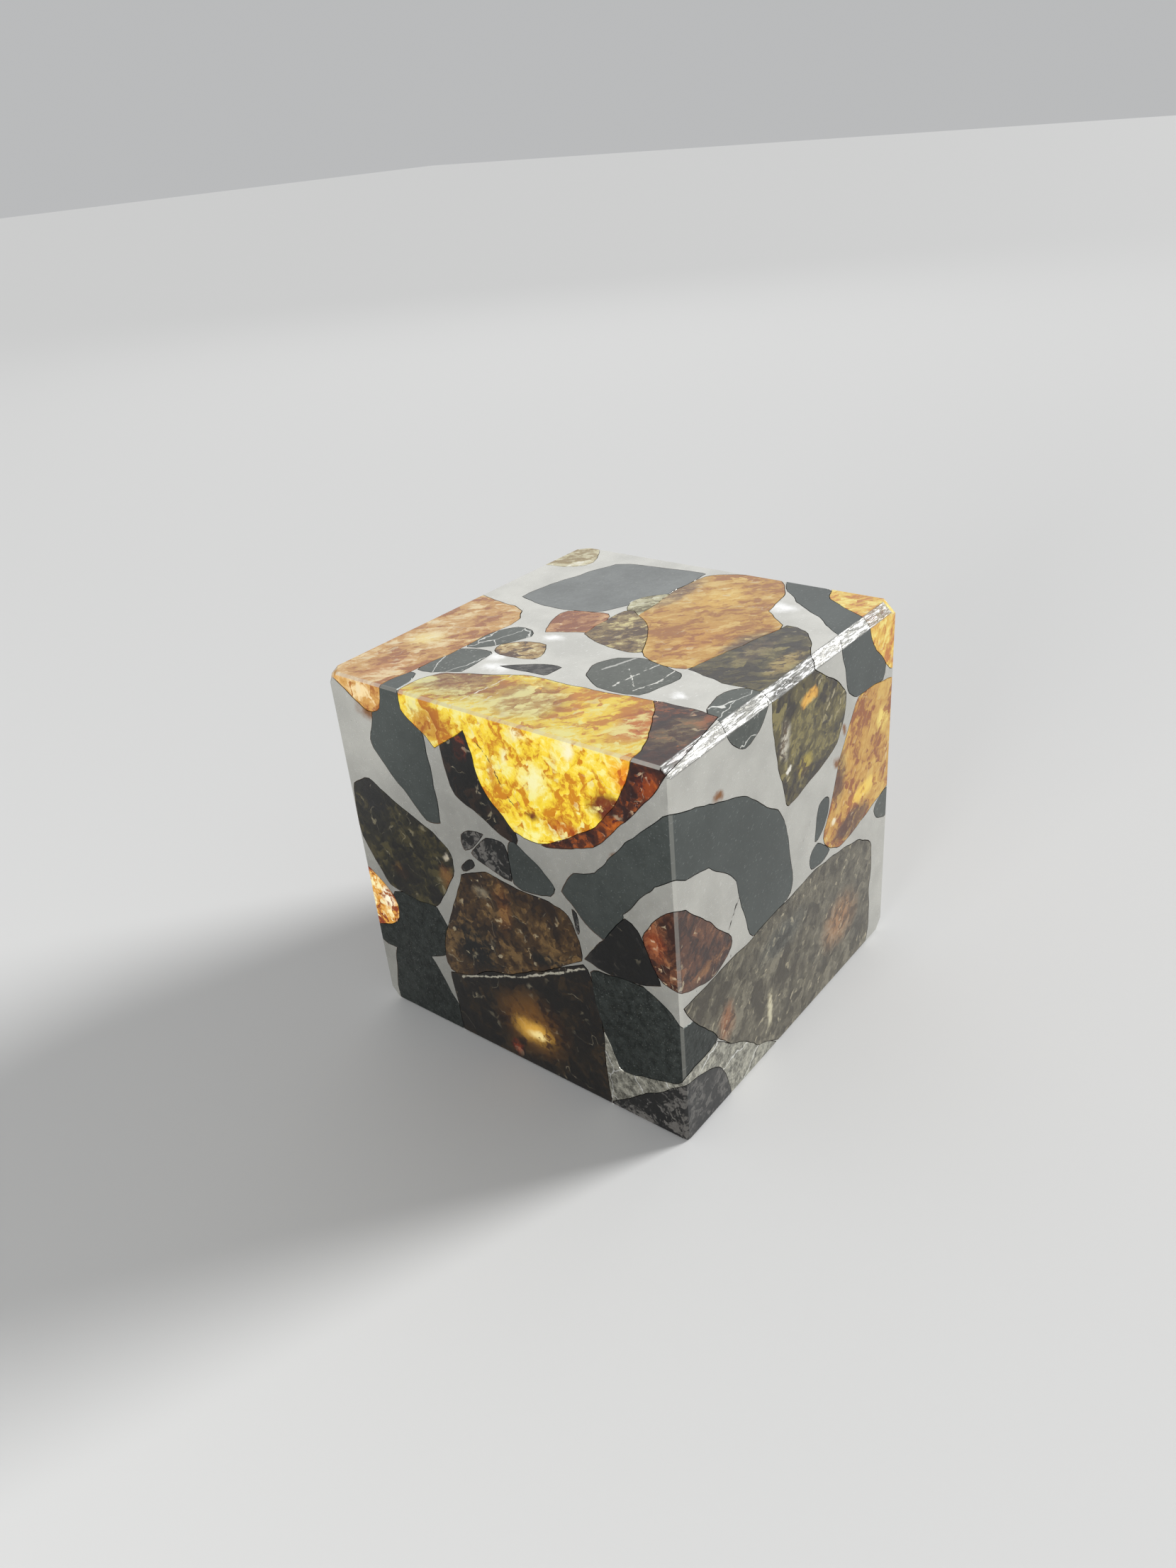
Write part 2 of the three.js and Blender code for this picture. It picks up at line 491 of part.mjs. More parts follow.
grain('plessite_notch', PLESSITE, {
  front: [[-7.3, 25], [-7.2, 24.3], [-6.7, 23.7], [-5.9, 23.2], [-5.3, 22.9], [-4.5, 23.2],
    [-3.8, 23.7], [-3.3, 24.5], [-3, 25]],
  top: [[-6.9, -12.5], [-6.4, -10.9], [-5.6, -10.3], [-4.5, -10.1], [-3.4, -10.4],
    [-2.9, -11], [-2.8, -12.5]],
  heart: [-5, -11.4, 23.8],
  radius: 0.4,
});
grain('plessite_east', PLESSITE, {
  front: [[5.5, 25], [5.4, 24.3], [5.6, 23.6], [6, 22.9], [6.2, 22.2], [6.2, 21.5], [6.7, 20.9],
    [7.4, 20.4], [8.7, 20.2], [9.9, 20.1], [11, 20.2], [11.3, 20.9], [10.7, 21.9], [9.8, 23.1],
    [9.1, 24.2], [8.8, 25]],
  top: [[6.3, -12.5], [6.8, -11.2], [8.3, -9.6], [9.2, -8.2], [9.6, -7.1], [10.8, -6],
    [12.5, -4.7], [12.5, -7.5], [10.8, -8.6], [10.3, -9.9], [10.1, -10.8], [9.1, -12.5]],
  right: [[-4.7, 25], [-4.9, 23.6], [-6.2, 22.9], [-7.3, 23.6], [-7.5, 25]],
  heart: [8.6, -10.2, 22.4],
  radius: 0.6,
});
grain('plessite_bean_upper', PLESSITE, {
  front: [[2.7, 14.9], [3, 15.2], [3.5, 15.3], [3.9, 14.9], [3.9, 14.2], [3.6, 13.6],
    [3.3, 13.1], [2.8, 12.7], [2.4, 12.8], [2.5, 13.8]],
  heart: [3, -11.6, 14.1],
  radius: 0.35,
});
grain('plessite_bean_lower', PLESSITE, {
  front: [[2.3, 12.3], [2.8, 12.4], [3.5, 12], [4.1, 11.4], [4.2, 11.2], [3.6, 10.8],
    [2.6, 10.7], [1.9, 10.9], [1.7, 11.3], [1.8, 11.9]],
  heart: [2.8, -11.6, 11.6],
  radius: 0.35,
});
grain('plessite_south_east', PLESSITE, {
  front: [[10.7, 11.1], [10.5, 10.7], [10.9, 10.1], [11.6, 9.8], [12.5, 9.6], [12.5, 11.6],
    [11.2, 11.4]],
  right: [[-12.5, 11.6], [-10.9, 11.5], [-9.8, 10.8], [-9.9, 9.8], [-11.2, 9.3], [-12.5, 9.6]],
  heart: [11.6, -11.6, 10.5],
  radius: 0.4,
});

// Top face, the grey fields between the crystals.
grain('plessite_oval', PLESSITE, {
  top: [[-5.2, -1.8], [-4.5, -1.6], [-3.6, -1.8], [-2.9, -2.3], [-2.7, -3], [-2.4, -3.7],
    [-2.4, -4.5], [-2.6, -6], [-2.9, -6.7], [-3.6, -7], [-5.2, -6.7], [-6.4, -6.2],
    [-6.6, -4.8], [-6.5, -3.7], [-6.1, -2.8], [-5.7, -2.1]],
  heart: [-4.5, -4.3, 22.2],
  radius: 0.9,
});
grain('plessite_north_west', PLESSITE, {
  top: [[-9.7, 7.5], [-7.6, 7.9], [-6.4, 7.5], [-5.9, 6.8], [-5.6, 5.7], [-5.9, 5], [-7.4, 4.9],
    [-8.7, 4.7], [-9.1, 5.6], [-9.7, 6.5]],
  heart: [-7.6, 6.2, 22.6],
  radius: 0.7,
});
grain('plessite_north_mid', PLESSITE, {
  top: [[-5.7, 7.1], [-4.7, 7.5], [-2.4, 6.8], [-1.8, 6.3], [-1.9, 5.2], [-2.6, 4.5],
    [-3.3, 4.9], [-5, 5.8]],
  heart: [-3.5, 6, 23],
  radius: 0.6,
});
grain('plessite_north_east', PLESSITE, {
  top: [[2.4, 9.7], [4.1, 9.5], [6.2, 9.1], [8.3, 8.3], [10.3, 7.7], [10.8, 5.9], [11.1, 4.2],
    [11.3, 1.7], [11.3, 0.9], [9.2, 1.1], [7.2, 1], [4.1, 2.6], [2.8, 3.1], [2.1, 4.2],
    [1.7, 5.6], [1.7, 7.2], [2.1, 8.6]],
  heart: [6.6, 5.4, 20],
  radius: 1.5,
});
grain('troilite_splinter', TROILITE, {
  top: [[-6.9, 3.2], [-6.6, 2.6], [-5.9, 1.7], [-5.7, 0.8], [-5.6, -0.1], [-6, 0.1],
    [-6.7, -0.2], [-6.9, 0], [-6.95, 1.7]],
  heart: [-6.4, 0.9, 24.2],
  radius: 0.2,
});

// Right face.
grain('olivine_right_mid', OLIVINE_GOLD, {
  right: [[-5.2, 15.4], [-4.4, 18], [-1.6, 20.1], [2, 19.6], [4, 17.2], [4.4, 13.6],
    [2.6, 10.5], [-0.8, 9.3], [-4, 10.7], [-5.4, 13]],
  heart: [8.2, -0.4, 14.6],
  radius: 1.5,
});
grain('plessite_right_high', PLESSITE, {
  right: [[5.2, 21.6], [7, 22.9], [9, 22.4], [10.9, 20.6], [10.7, 17.6], [8.4, 14.9],
    [6.2, 15.2], [5.2, 18.4]],
  heart: [9.6, 8, 18.8],
  radius: 1,
});
grain('olivine_right_back', OLIVINE_DARK, {
  right: [[12.5, 14.1], [9.8, 13.2], [6.4, 11.8], [5.3, 8.6], [6.9, 5.4], [9.8, 4.4],
    [12.5, 5]],
  back: [[12.5, 14.1], [10.2, 13.4], [8.7, 10.4], [9.5, 6.4], [12.5, 5]],
  heart: [9.8, 9.4, 9.4],
  radius: 1.2,
});
grain('plessite_right_low', PLESSITE, {
  right: [[-8.8, 7.8], [-4.4, 7.9], [-1.2, 6.6], [0.5, 4], [-1.3, 1.9], [-5, 1.2],
    [-8.6, 2.4], [-9.8, 5.2]],
  heart: [10.6, -4.6, 4.8],
  radius: 0.8,
});
grain('olivine_right_base', OLIVINE_AMBER, {
  right: [[2, 0], [2.3, 2.4], [3.9, 3.9], [6.2, 3.4], [8.6, 1.9], [9.4, 0]],
  base: [[12.5, 2], [9.6, 1.5], [7.2, 3.2], [6.7, 6.4], [8.7, 9], [12.5, 9.4]],
  heart: [9.8, 5.4, 2],
  radius: 0.8,
});

// Back face.
grain('plessite_back_high', PLESSITE, {
  back: [[3.1, 22.4], [7.2, 23.2], [8.8, 21.2], [9.1, 17.9], [5.9, 15.7], [2.8, 17.2],
    [1.8, 20]],
  heart: [5.6, 10, 19.6],
  radius: 0.9,
});
grain('olivine_back_mid', OLIVINE_AMBER, {
  back: [[-1.8, 15.6], [1.8, 14.8], [4.6, 12.6], [5.6, 9], [3.9, 5.9], [0.3, 4.9],
    [-3.2, 6.2], [-4.5, 9.6], [-3.9, 13.2]],
  heart: [0.6, 8, 10.4],
  radius: 1.4,
});
grain('plessite_back_west', PLESSITE, {
  back: [[-5.8, 15.3], [-8.6, 16.1], [-10.9, 14.8], [-10.2, 12.4], [-7.6, 11.2],
    [-5.4, 12.4]],
  heart: [-8, 10.4, 13.6],
  radius: 0.7,
});
grain('olivine_back_base', OLIVINE_GOLD, {
  back: [[-8, 0], [-8.5, 3.3], [-6.9, 5.3], [-4.5, 4.4], [-3.3, 1.9], [-3.2, 0]],
  base: [[-8, 12.5], [-8.2, 9.6], [-6.6, 7.2], [-4.4, 7.7], [-3.1, 10], [-3.2, 12.5]],
  heart: [-5.8, 10.4, 2],
  radius: 0.7,
});
grain('plessite_back_low', PLESSITE, {
  back: [[0.6, 3.2], [3.2, 4.3], [7.4, 3.9], [8.8, 2.2], [5.2, 1], [1.4, 1.2]],
  heart: [4.4, 11.2, 2.6],
  radius: 0.5,
});

// Resting face, clear of its middle.
grain('olivine_base_north', OLIVINE_DARK, {
  base: [[-1.6, 10.6], [1.6, 11], [4.5, 9.4], [4.7, 6.8], [1.8, 5.6], [-1.4, 6.6],
    [-2.4, 8.7]],
  heart: [1.2, 8.4, 2.2],
  radius: 0.8,
});
grain('plessite_base_east', PLESSITE, {
  base: [[2.4, 4.2], [4.8, 2.4], [5.6, -0.6], [4.2, -2.8], [2.4, -1.6], [1.6, 1.4]],
  heart: [3.6, 0.6, 1.6],
  radius: 0.5,
});
grain('plessite_base_south', PLESSITE, {
  base: [[-5.2, -4.2], [-2.8, -4.8], [-2.5, -7.4], [-3.6, -10], [-5.6, -10.2], [-6.9, -8]],
  heart: [-4.4, -7.2, 1.4],
  radius: 0.5,
});

// ---- Cutting ------------------------------------------------------------------------------
const cube = new THREE.Group();
function addPiece(name, material, solid) {
  const mesh = new THREE.Mesh(toGeometry(solid), material);
  mesh.name = name;
  cube.add(mesh);
}

let skeleton = block;
const cutters = [];
for (const { name, material, lumps } of GRAINS) {
  let solid = lumps
    .map((points) => toSolid(new ConvexGeometry(toVectors(points))))
    .reduce((whole, lump) => whole.add(lump))
    .intersect(block);
  for (const cutter of cutters) {
    solid = solid.subtract(cutter);
  }
  addPiece(name, material, largestLump(solid));
  const cutter = lumps
    .map((points) => toSolid(grown(points, SEAM)))
    .reduce((whole, lump) => whole.add(lump));
  cutters.push(cutter);
  skeleton = skeleton.subtract(cutter);
}
addPiece('kamacite_skeleton', KAMACITE, largestLump(skeleton));

export default cube;
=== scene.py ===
import json
import math

import bmesh
import bpy
from mathutils import Matrix, Vector


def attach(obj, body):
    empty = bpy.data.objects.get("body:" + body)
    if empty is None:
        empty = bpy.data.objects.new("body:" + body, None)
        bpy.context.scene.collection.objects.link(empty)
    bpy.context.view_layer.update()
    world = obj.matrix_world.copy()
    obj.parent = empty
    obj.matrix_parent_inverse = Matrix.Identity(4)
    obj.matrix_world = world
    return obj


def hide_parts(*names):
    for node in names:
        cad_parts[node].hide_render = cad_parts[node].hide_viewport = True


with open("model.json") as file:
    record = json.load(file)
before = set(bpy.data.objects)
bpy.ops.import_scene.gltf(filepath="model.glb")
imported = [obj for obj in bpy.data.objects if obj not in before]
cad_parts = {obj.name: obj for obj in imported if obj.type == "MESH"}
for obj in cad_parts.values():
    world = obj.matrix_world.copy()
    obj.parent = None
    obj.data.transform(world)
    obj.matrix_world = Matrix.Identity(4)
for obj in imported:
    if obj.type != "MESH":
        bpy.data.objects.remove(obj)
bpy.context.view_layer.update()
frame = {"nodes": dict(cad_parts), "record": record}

# ---- Viewpoint ------------------------------------------------------------------------------
# The cube stands with one upright edge towards the viewer and is seen from above, from about
# three of its own sides away.
MM = 0.001
VIEW_FROM = Vector((-52.96, -42.04, 52.78)) * MM
VIEW_TOWARDS = Vector((-0.91, 2.60, 14.15)) * MM
VIEW_ROLL = math.radians(5.3)
LENS = 27.2
SENSOR_WIDTH = 36
NEAREST_SEEN = 1 * MM

lens = bpy.data.cameras.new("viewpoint")
lens.sensor_width = SENSOR_WIDTH
lens.lens = LENS
lens.clip_start = NEAREST_SEEN
camera = bpy.data.objects.new("viewpoint", lens)
aim = (VIEW_TOWARDS - VIEW_FROM).to_track_quat("-Z", "Y").to_matrix()
aim = aim @ Matrix.Rotation(-VIEW_ROLL, 3, "Z")
camera.matrix_world = Matrix.Translation(VIEW_FROM) @ aim.to_4x4()
bpy.context.collection.objects.link(camera)
bpy.context.scene.camera = camera

# ---- Table ----------------------------------------------------------------------------------
# A plain pale matt table. The polished upright faces mirror it, so its tone sets theirs. It is
# one sheet that only carries the cube, and is no part of it.
TABLE_HALF = 1.5
TABLE_TONE = (0.52, 0.52, 0.515, 1)
TABLE_ROUGHNESS = 0.8


def add_mesh(name, bm):
    mesh = bpy.data.meshes.new(name)
    bm.to_mesh(mesh)
    bm.free()
    made = bpy.data.objects.new(name, mesh)
    bpy.context.collection.objects.link(made)
    return made


def new_paint(name):
    paint = bpy.data.materials.new(name)
    paint.use_nodes = True
    return paint, paint.node_tree, paint.node_tree.nodes["Principled BSDF"]


sheet = bmesh.new()
bmesh.ops.create_grid(sheet, x_segments=1, y_segments=1, size=TABLE_HALF)
table = add_mesh("table", sheet)
table_paint, tree, shader = new_paint("table_paint")
shader.inputs["Base Color"].default_value = TABLE_TONE
shader.inputs["Roughness"].default_value = TABLE_ROUGHNESS
table.data.materials.append(table_paint)

# ---- Studio light ---------------------------------------------------------------------------
# A broad soft key from the right lights the front and throws the left side into shade. A softbox
# behind is mirrored in the top, and a low fill reaches the crystals of the left face.
SIDE = 25 * MM
SKY_TONE = (0.98, 0.99, 1, 1)
SKY_STRENGTH = 0.50
KEY_SPREAD = math.radians(18)

world = bpy.data.worlds.new("studio")
world.use_nodes = True
sky = world.node_tree.nodes["Background"]
sky.inputs["Color"].default_value = SKY_TONE
sky.inputs["Strength"].default_value = SKY_STRENGTH
bpy.context.scene.world = world
bpy.context.scene.view_settings.view_transform = "Standard"


def add_lamp(name, kind, place, power):
    """A lamp at a place, turned towards the middle of the cube."""
    lamp = bpy.data.lights.new(name, kind)
    lamp.energy = power
    stand = bpy.data.objects.new(name, lamp)
    towards = Vector((0, 0, 0.5 * SIDE)) - Vector(place)
    turn = towards.to_track_quat("-Z", "Y").to_matrix().to_4x4()
    stand.matrix_world = Matrix.Translation(place) @ turn
    bpy.context.collection.objects.link(stand)
    return lamp


def add_softbox(name, place, width, height, power):
    lamp = add_lamp(name, "AREA", place, power)
    lamp.shape = "RECTANGLE"
    lamp.size = width
    lamp.size_y = height


key = add_lamp("key", "SUN", place=(0.26, -0.15, 0.16), power=4.6)
key.angle = KEY_SPREAD
add_softbox("softbox_back", place=(0.22, 0.19, 0.19), width=0.26, height=0.20, power=0.10)
add_softbox("softbox_left", place=(-0.26, -0.02, 0.045), width=0.10, height=0.05, power=0.62)

# ---- Kamacite skeleton ----------------------------------------------------------------------
# The continuous nickel-iron that holds every grain, sawn, ground and polished bright. Metal and
# crystals grew against each other, so one field bends all their walls together and dies out at
# the faces, at the edges and deep inside. Rust has crept out of a few crystal walls.
HALF = SIDE / 2
FLAT_LEG = 0.55 * MM            # the ground flat of the front top edge
EDGE_LEG = 0.14 * MM            # the broken edges beside it
MERGE = 0.002 * MM              # points closer than this are one point
STEP = 0.55 * MM                # longest wall edge where light still shows it
DEEP_STEP = 2.0 * MM            # longest wall edge below that
SHOWN_DEPTH = 1.3 * MM
FADE_DEPTH = 2.0 * MM
SPLIT_ROUNDS = 7
SOFT_EDGE = math.radians(30)
FLAT_LIMIT = 0.999              # a face this square to an axis is a polished face
COPLANAR = math.radians(0.5)
NOISE_MIDDLE = (0.5, 0.5, 0.5)  # what a noise colour is on average


def add_node(tree, kind, options=None, **inputs):
    """A node with its inputs set or linked: by name, or by number as in0, in1 and so on."""
    made = tree.nodes.new(kind)
    for key, value in (options or {}).items():
        setattr(made, key, value)
    for key, value in inputs.items():
        number = key.removeprefix("in")
        socket = made.inputs[int(number)] if number.isdigit() else made.inputs[key.replace("_", " ")]
        if isinstance(value, bpy.types.NodeSocket):
            tree.links.new(value, socket)
        else:
            socket.default_value = value
    return made


def maths(tree, operation, first, second):
    return add_node(tree, "ShaderNodeMath", {"operation": operation}, in0=first, in1=second).outputs[0]


def vector_maths(tree, operation, first, second):
    options = {"operation": operation}
    return add_node(tree, "ShaderNodeVectorMath", options, in0=first, in1=second).outputs[0]


def scaled(tree, vector, factor):
    options = {"operation": "SCALE"}
    return add_node(tree, "ShaderNodeVectorMath", options, in0=vector, Scale=factor).outputs[0]


def ramp(tree, value, low, high, to_low=0.0, to_high=1.0):
    ease = {"interpolation_type": "SMOOTHSTEP"}
    made = add_node(
        tree, "ShaderNodeMapRange", ease, Value=value,
        From_Min=low, From_Max=high, To_Min=to_low, To_Max=to_high,
    )
    return made.outputs[0]


def wall_tree():
    """A shift along an axis is nil close to the faces across that axis, so those stay flat."""
    tree = bpy.data.node_groups.new("wandering_walls", "GeometryNodeTree")
    sockets = tree.interface
    sockets.new_socket("Geometry", in_out="INPUT", socket_type="NodeSocketGeometry")
    for label in ("Wander", "Wave", "Half Side", "Rim", "Fade"):
        sockets.new_socket(label, in_out="INPUT", socket_type="NodeSocketFloat")
    sockets.new_socket("Finish", in_out="INPUT", socket_type="NodeSocketMaterial")
    sockets.new_socket("Geometry", in_out="OUTPUT", socket_type="NodeSocketGeometry")
    given = add_node(tree, "NodeGroupInput").outputs
    place = add_node(tree, "GeometryNodeInputPosition").outputs[0]
    half = given["Half Side"]
    raised = add_node(tree, "ShaderNodeCombineXYZ", Z=half).outputs[0]
    middle = vector_maths(tree, "SUBTRACT", place, raised)
    spread = add_node(tree, "ShaderNodeVectorMath", {"operation": "ABSOLUTE"}, in0=middle).outputs[0]
    reach = add_node(tree, "ShaderNodeCombineXYZ", X=half, Y=half, Z=half).outputs[0]
    below = vector_maths(tree, "SUBTRACT", reach, spread)
    depths = add_node(tree, "ShaderNodeSeparateXYZ", in0=below).outputs
    held = [ramp(tree, depth, given["Rim"], given["Fade"]) for depth in depths]
    hold = add_node(tree, "ShaderNodeCombineXYZ", X=held[0], Y=held[1], Z=held[2]).outputs[0]
    least = maths(tree, "MINIMUM", maths(tree, "MINIMUM", depths[0], depths[1]), depths[2])
    deepest_shift = maths(tree, "MULTIPLY", given["Fade"], 2.0)
    near = ramp(tree, least, 0.0, deepest_shift, 1.0, 0.0)
    field = add_node(
        tree, "ShaderNodeTexNoise", in0=place, Scale=given["Wave"], Detail=2.0, Roughness=0.45,
    )
    centred = vector_maths(tree, "SUBTRACT", field.outputs["Color"], NOISE_MIDDLE)
    bent = vector_maths(tree, "MULTIPLY", centred, hold)
    shift = scaled(tree, bent, maths(tree, "MULTIPLY", near, given["Wander"]))
    moved = add_node(tree, "GeometryNodeSetPosition", Geometry=given["Geometry"], Offset=shift)
    single = add_node(tree, "GeometryNodeRealizeInstances", Geometry=moved.outputs[0])
    finished = add_node(
        tree, "GeometryNodeSetMaterial", Geometry=single.outputs[0], Material=given["Finish"],
    )
    add_node(tree, "NodeGroupOutput", Geometry=finished.outputs[0])
    return tree


WALLS = wall_tree()
WALL_INPUTS = {
    "Wander": 0.8 * MM, "Wave": 380.0, "Half Side": HALF, "Rim": 0.6 * MM, "Fade": FADE_DEPTH,
}


def depths_of(point):
    """How far the point lies under the nearest face of each of the three pairs, least first."""
    return sorted((HALF - abs(point.x), HALF - abs(point.y), HALF - abs(point.z - HALF)))


def squareness(face):
    return max(abs(part) for part in face.normal)


def even_out(bm):
    """Takes out needle-thin triangles, so that the polished faces shade as one plane."""
    bmesh.ops.remove_doubles(bm, verts=bm.verts, dist=MERGE)
    bmesh.ops.dissolve_degenerate(bm, dist=2 * MERGE, edges=bm.edges)
    bmesh.ops.triangulate(bm, faces=bm.faces)
    bm.normal_update()
    level = [face for face in bm.faces if squareness(face) > FLAT_LIMIT]
    held = set(level)
    inner = [
        edge for edge in bm.edges
        if len(edge.link_faces) == 2
        and held.issuperset(edge.link_faces)
        and edge.calc_face_angle(1) < COPLANAR
    ]
    bmesh.ops.beautify_fill(bm, faces=level, edges=inner, method="ANGLE")


def split_walls(bm):
    for _ in range(SPLIT_ROUNDS):
        long = []
        for edge in bm.edges:
            middle = (edge.verts[0].co + edge.verts[1].co) / 2
            limit = STEP if depths_of(middle)[0] < SHOWN_DEPTH else DEEP_STEP
            if edge.calc_length() > limit:
                long.append(edge)
        if not long:
            return
        bmesh.ops.subdivide_edges(bm, edges=long, cuts=1)
        bmesh.ops.triangulate(bm, faces=bm.faces)


def soften(bm):
    for face in bm.faces:
        face.smooth = squareness(face) < FLAT_LIMIT
    for edge in bm.edges:
        edge.smooth = edge.calc_face_angle(0) < SOFT_EDGE


def baked(piece):
    """The piece with its modifiers worked into its own mesh."""
    view = bpy.context.evaluated_depsgraph_get()
    mesh = bpy.data.meshes.new_from_object(piece.evaluated_get(view))
    mesh.validate()
    piece.modifiers.clear()
    piece.data = mesh
    return piece


SLOT_OF = {part["node"]: part["material_slot"] for part in frame["record"]["subparts"]}


def grown(node, paint):
    """A grain of the block, with wandering walls and its finish."""
    source = frame["nodes"][node]
    bm = bmesh.new()
    bm.from_mesh(source.data)
    bm.transform(source.matrix_world)
    even_out(bm)
    split_walls(bm)
    bmesh.ops.recalc_face_normals(bm, faces=bm.faces)
    soften(bm)
    piece = add_mesh(node + "_grown", bm)
    bend = piece.modifiers.new("walls", "NODES")
    bend.node_group = WALLS
    given = WALL_INPUTS | {"Finish": paint}
    for item in WALLS.interface.items_tree:
        if item.in_out == "INPUT" and item.name in given:
            bend[item.identifier] = given[item.name]
    baked(piece)
    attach(piece, "root")
    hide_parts(node)
    return piece


def linear(red, green, blue):
    return tuple((value / 255) ** 2.2 for value in (red, green, blue)) + (1,)


def new_group(name, inputs, outputs):
    tree = bpy.data.node_groups.new(name, "ShaderNodeTree")
    for label, value in inputs.items():
        kind = "NodeSocketVector" if isinstance(value, tuple) else "NodeSocketFloat"
        tree.interface.new_socket(label, in_out="INPUT", socket_type=kind).default_value = value
    for label, kind in outputs.items():
        tree.interface.new_socket(label, in_out="OUTPUT", socket_type="NodeSocket" + kind)
    return tree, add_node(tree, "NodeGroupInput").outputs


def blend(tree, factor, first, second, kind="MIX"):
    options = {"data_type": "RGBA", "blend_type": kind}
    return add_node(tree, "ShaderNodeMix", options, in0=factor, in6=first, in7=second).outputs[2]


def place_in_mm(tree):
    return scaled(tree, add_node(tree, "ShaderNodeTexCoord").outputs["Object"], 1 / MM)


def wobbled(tree, place, wave, reach):
    field = add_node(tree, "ShaderNodeTexNoise", in0=place, Scale=wave, Detail=3.0, Roughness=0.6)
    centred = vector_maths(tree, "SUBTRACT", field.outputs["Color"], NOISE_MIDDLE)
    return vector_maths(tree, "ADD", place, scaled(tree, centred, reach))


def soft_spot_group():
    given = {"Centre": (0.0, 0.0, 0.0), "Reach": (1.0, 1.0, 1.0), "Ragged": 1.2, "Softness": 0.5}
    tree, inputs = new_group("soft_spot", given, {"Mask": "Float"})
    place = wobbled(tree, place_in_mm(tree), 0.9, inputs["Ragged"])
    away = vector_maths(tree, "SUBTRACT", place, inputs["Centre"])
    share = vector_maths(tree, "DIVIDE", away, inputs["Reach"])
    far = add_node(tree, "ShaderNodeVectorMath", {"operation": "LENGTH"}, in0=share)
    start = maths(tree, "SUBTRACT", 1.0, inputs["Softness"])
    add_node(tree, "NodeGroupOutput", Mask=ramp(tree, far.outputs["Value"], start, 1.0, 1.0, 0.0))
    return tree


def hairline_group():
    given = {"From": (0.0, 0.0, 0.0), "To": (1.0, 0.0, 0.0), "Width": 0.1, "Ragged": 0.5}
    tree, inputs = new_group("hairline", given, {"Mask": "Float"})
    place = wobbled(tree, place_in_mm(tree), 1.3, inputs["Ragged"])
    along = vector_maths(tree, "SUBTRACT", inputs["To"], inputs["From"])
    away = vector_maths(tree, "SUBTRACT", place, inputs["From"])
    dot = {"operation": "DOT_PRODUCT"}
    share = add_node(tree, "ShaderNodeVectorMath", dot, in0=away, in1=along)
    whole = add_node(tree, "ShaderNodeVectorMath", dot, in0=along, in1=along)
    part = add_node(
        tree, "ShaderNodeMath", {"operation": "DIVIDE", "use_clamp": True},
        in0=share.outputs["Value"], in1=whole.outputs["Value"],
    )
    foot = scaled(tree, along, part.outputs[0])
    gap = add_node(tree, "ShaderNodeVectorMath", {"operation": "DISTANCE"}, in0=away, in1=foot)
    inner = maths(tree, "MULTIPLY", inputs["Width"], 0.4)
    mask = ramp(tree, gap.outputs["Value"], inner, inputs["Width"], 1.0, 0.0)
    add_node(tree, "NodeGroupOutput", Mask=mask)
    return tree


def ground_flat_group():
    """The wide flat of the front top edge, and a painted highlight along the hair-thin breaks of the
    two edges beside it.
    """
    flat_blur = 0.10
    edge_blur = 0.04
    upright_highlight = 0.45
    tree, _ = new_group("ground_flat", {}, {"Mask": "Float", "Streaks": "Float", "Edges": "Float"})
    place = place_in_mm(tree)
    parts = add_node(tree, "ShaderNodeSeparateXYZ", in0=place).outputs
    top_corner = (SIDE + HALF) / MM
    flat = top_corner - FLAT_LEG / MM
    mask = ramp(tree, maths(tree, "SUBTRACT", parts[2], parts[1]), flat - flat_blur, flat)
    broken = top_corner - EDGE_LEG / MM
    across = maths(tree, "SUBTRACT", parts[2], parts[0])
    left_top_highlight = ramp(tree, across, broken - edge_blur, broken + edge_blur)
    outward = maths(tree, "MULTIPLY", maths(tree, "ADD", parts[0], parts[1]), -1.0)
    near = SIDE / MM - EDGE_LEG / MM
    upright = ramp(tree, outward, near - edge_blur, near + edge_blur, 0.0, upright_highlight)
    lanes = vector_maths(tree, "MULTIPLY", place, (0.6, 6.0, 6.0))
    noise = add_node(tree, "ShaderNodeTexNoise", in0=lanes, Scale=1.0, Detail=5.0, Roughness=0.75)
    streaks = ramp(tree, noise.outputs["Fac"], 0.42, 0.58)
    edges = maths(tree, "MAXIMUM", left_top_highlight, upright)
    add_node(tree, "NodeGroupOutput", Mask=mask, Streaks=streaks, Edges=edges)
    return tree


SOFT_SPOT = soft_spot_group()
HAIRLINE = hairline_group()
GROUND = ground_flat_group()


def ground_relief(tree):
    flat = add_node(tree, "ShaderNodeGroup", {"node_tree": GROUND}).outputs
    return maths(tree, "MULTIPLY", flat["Mask"], flat["Streaks"])


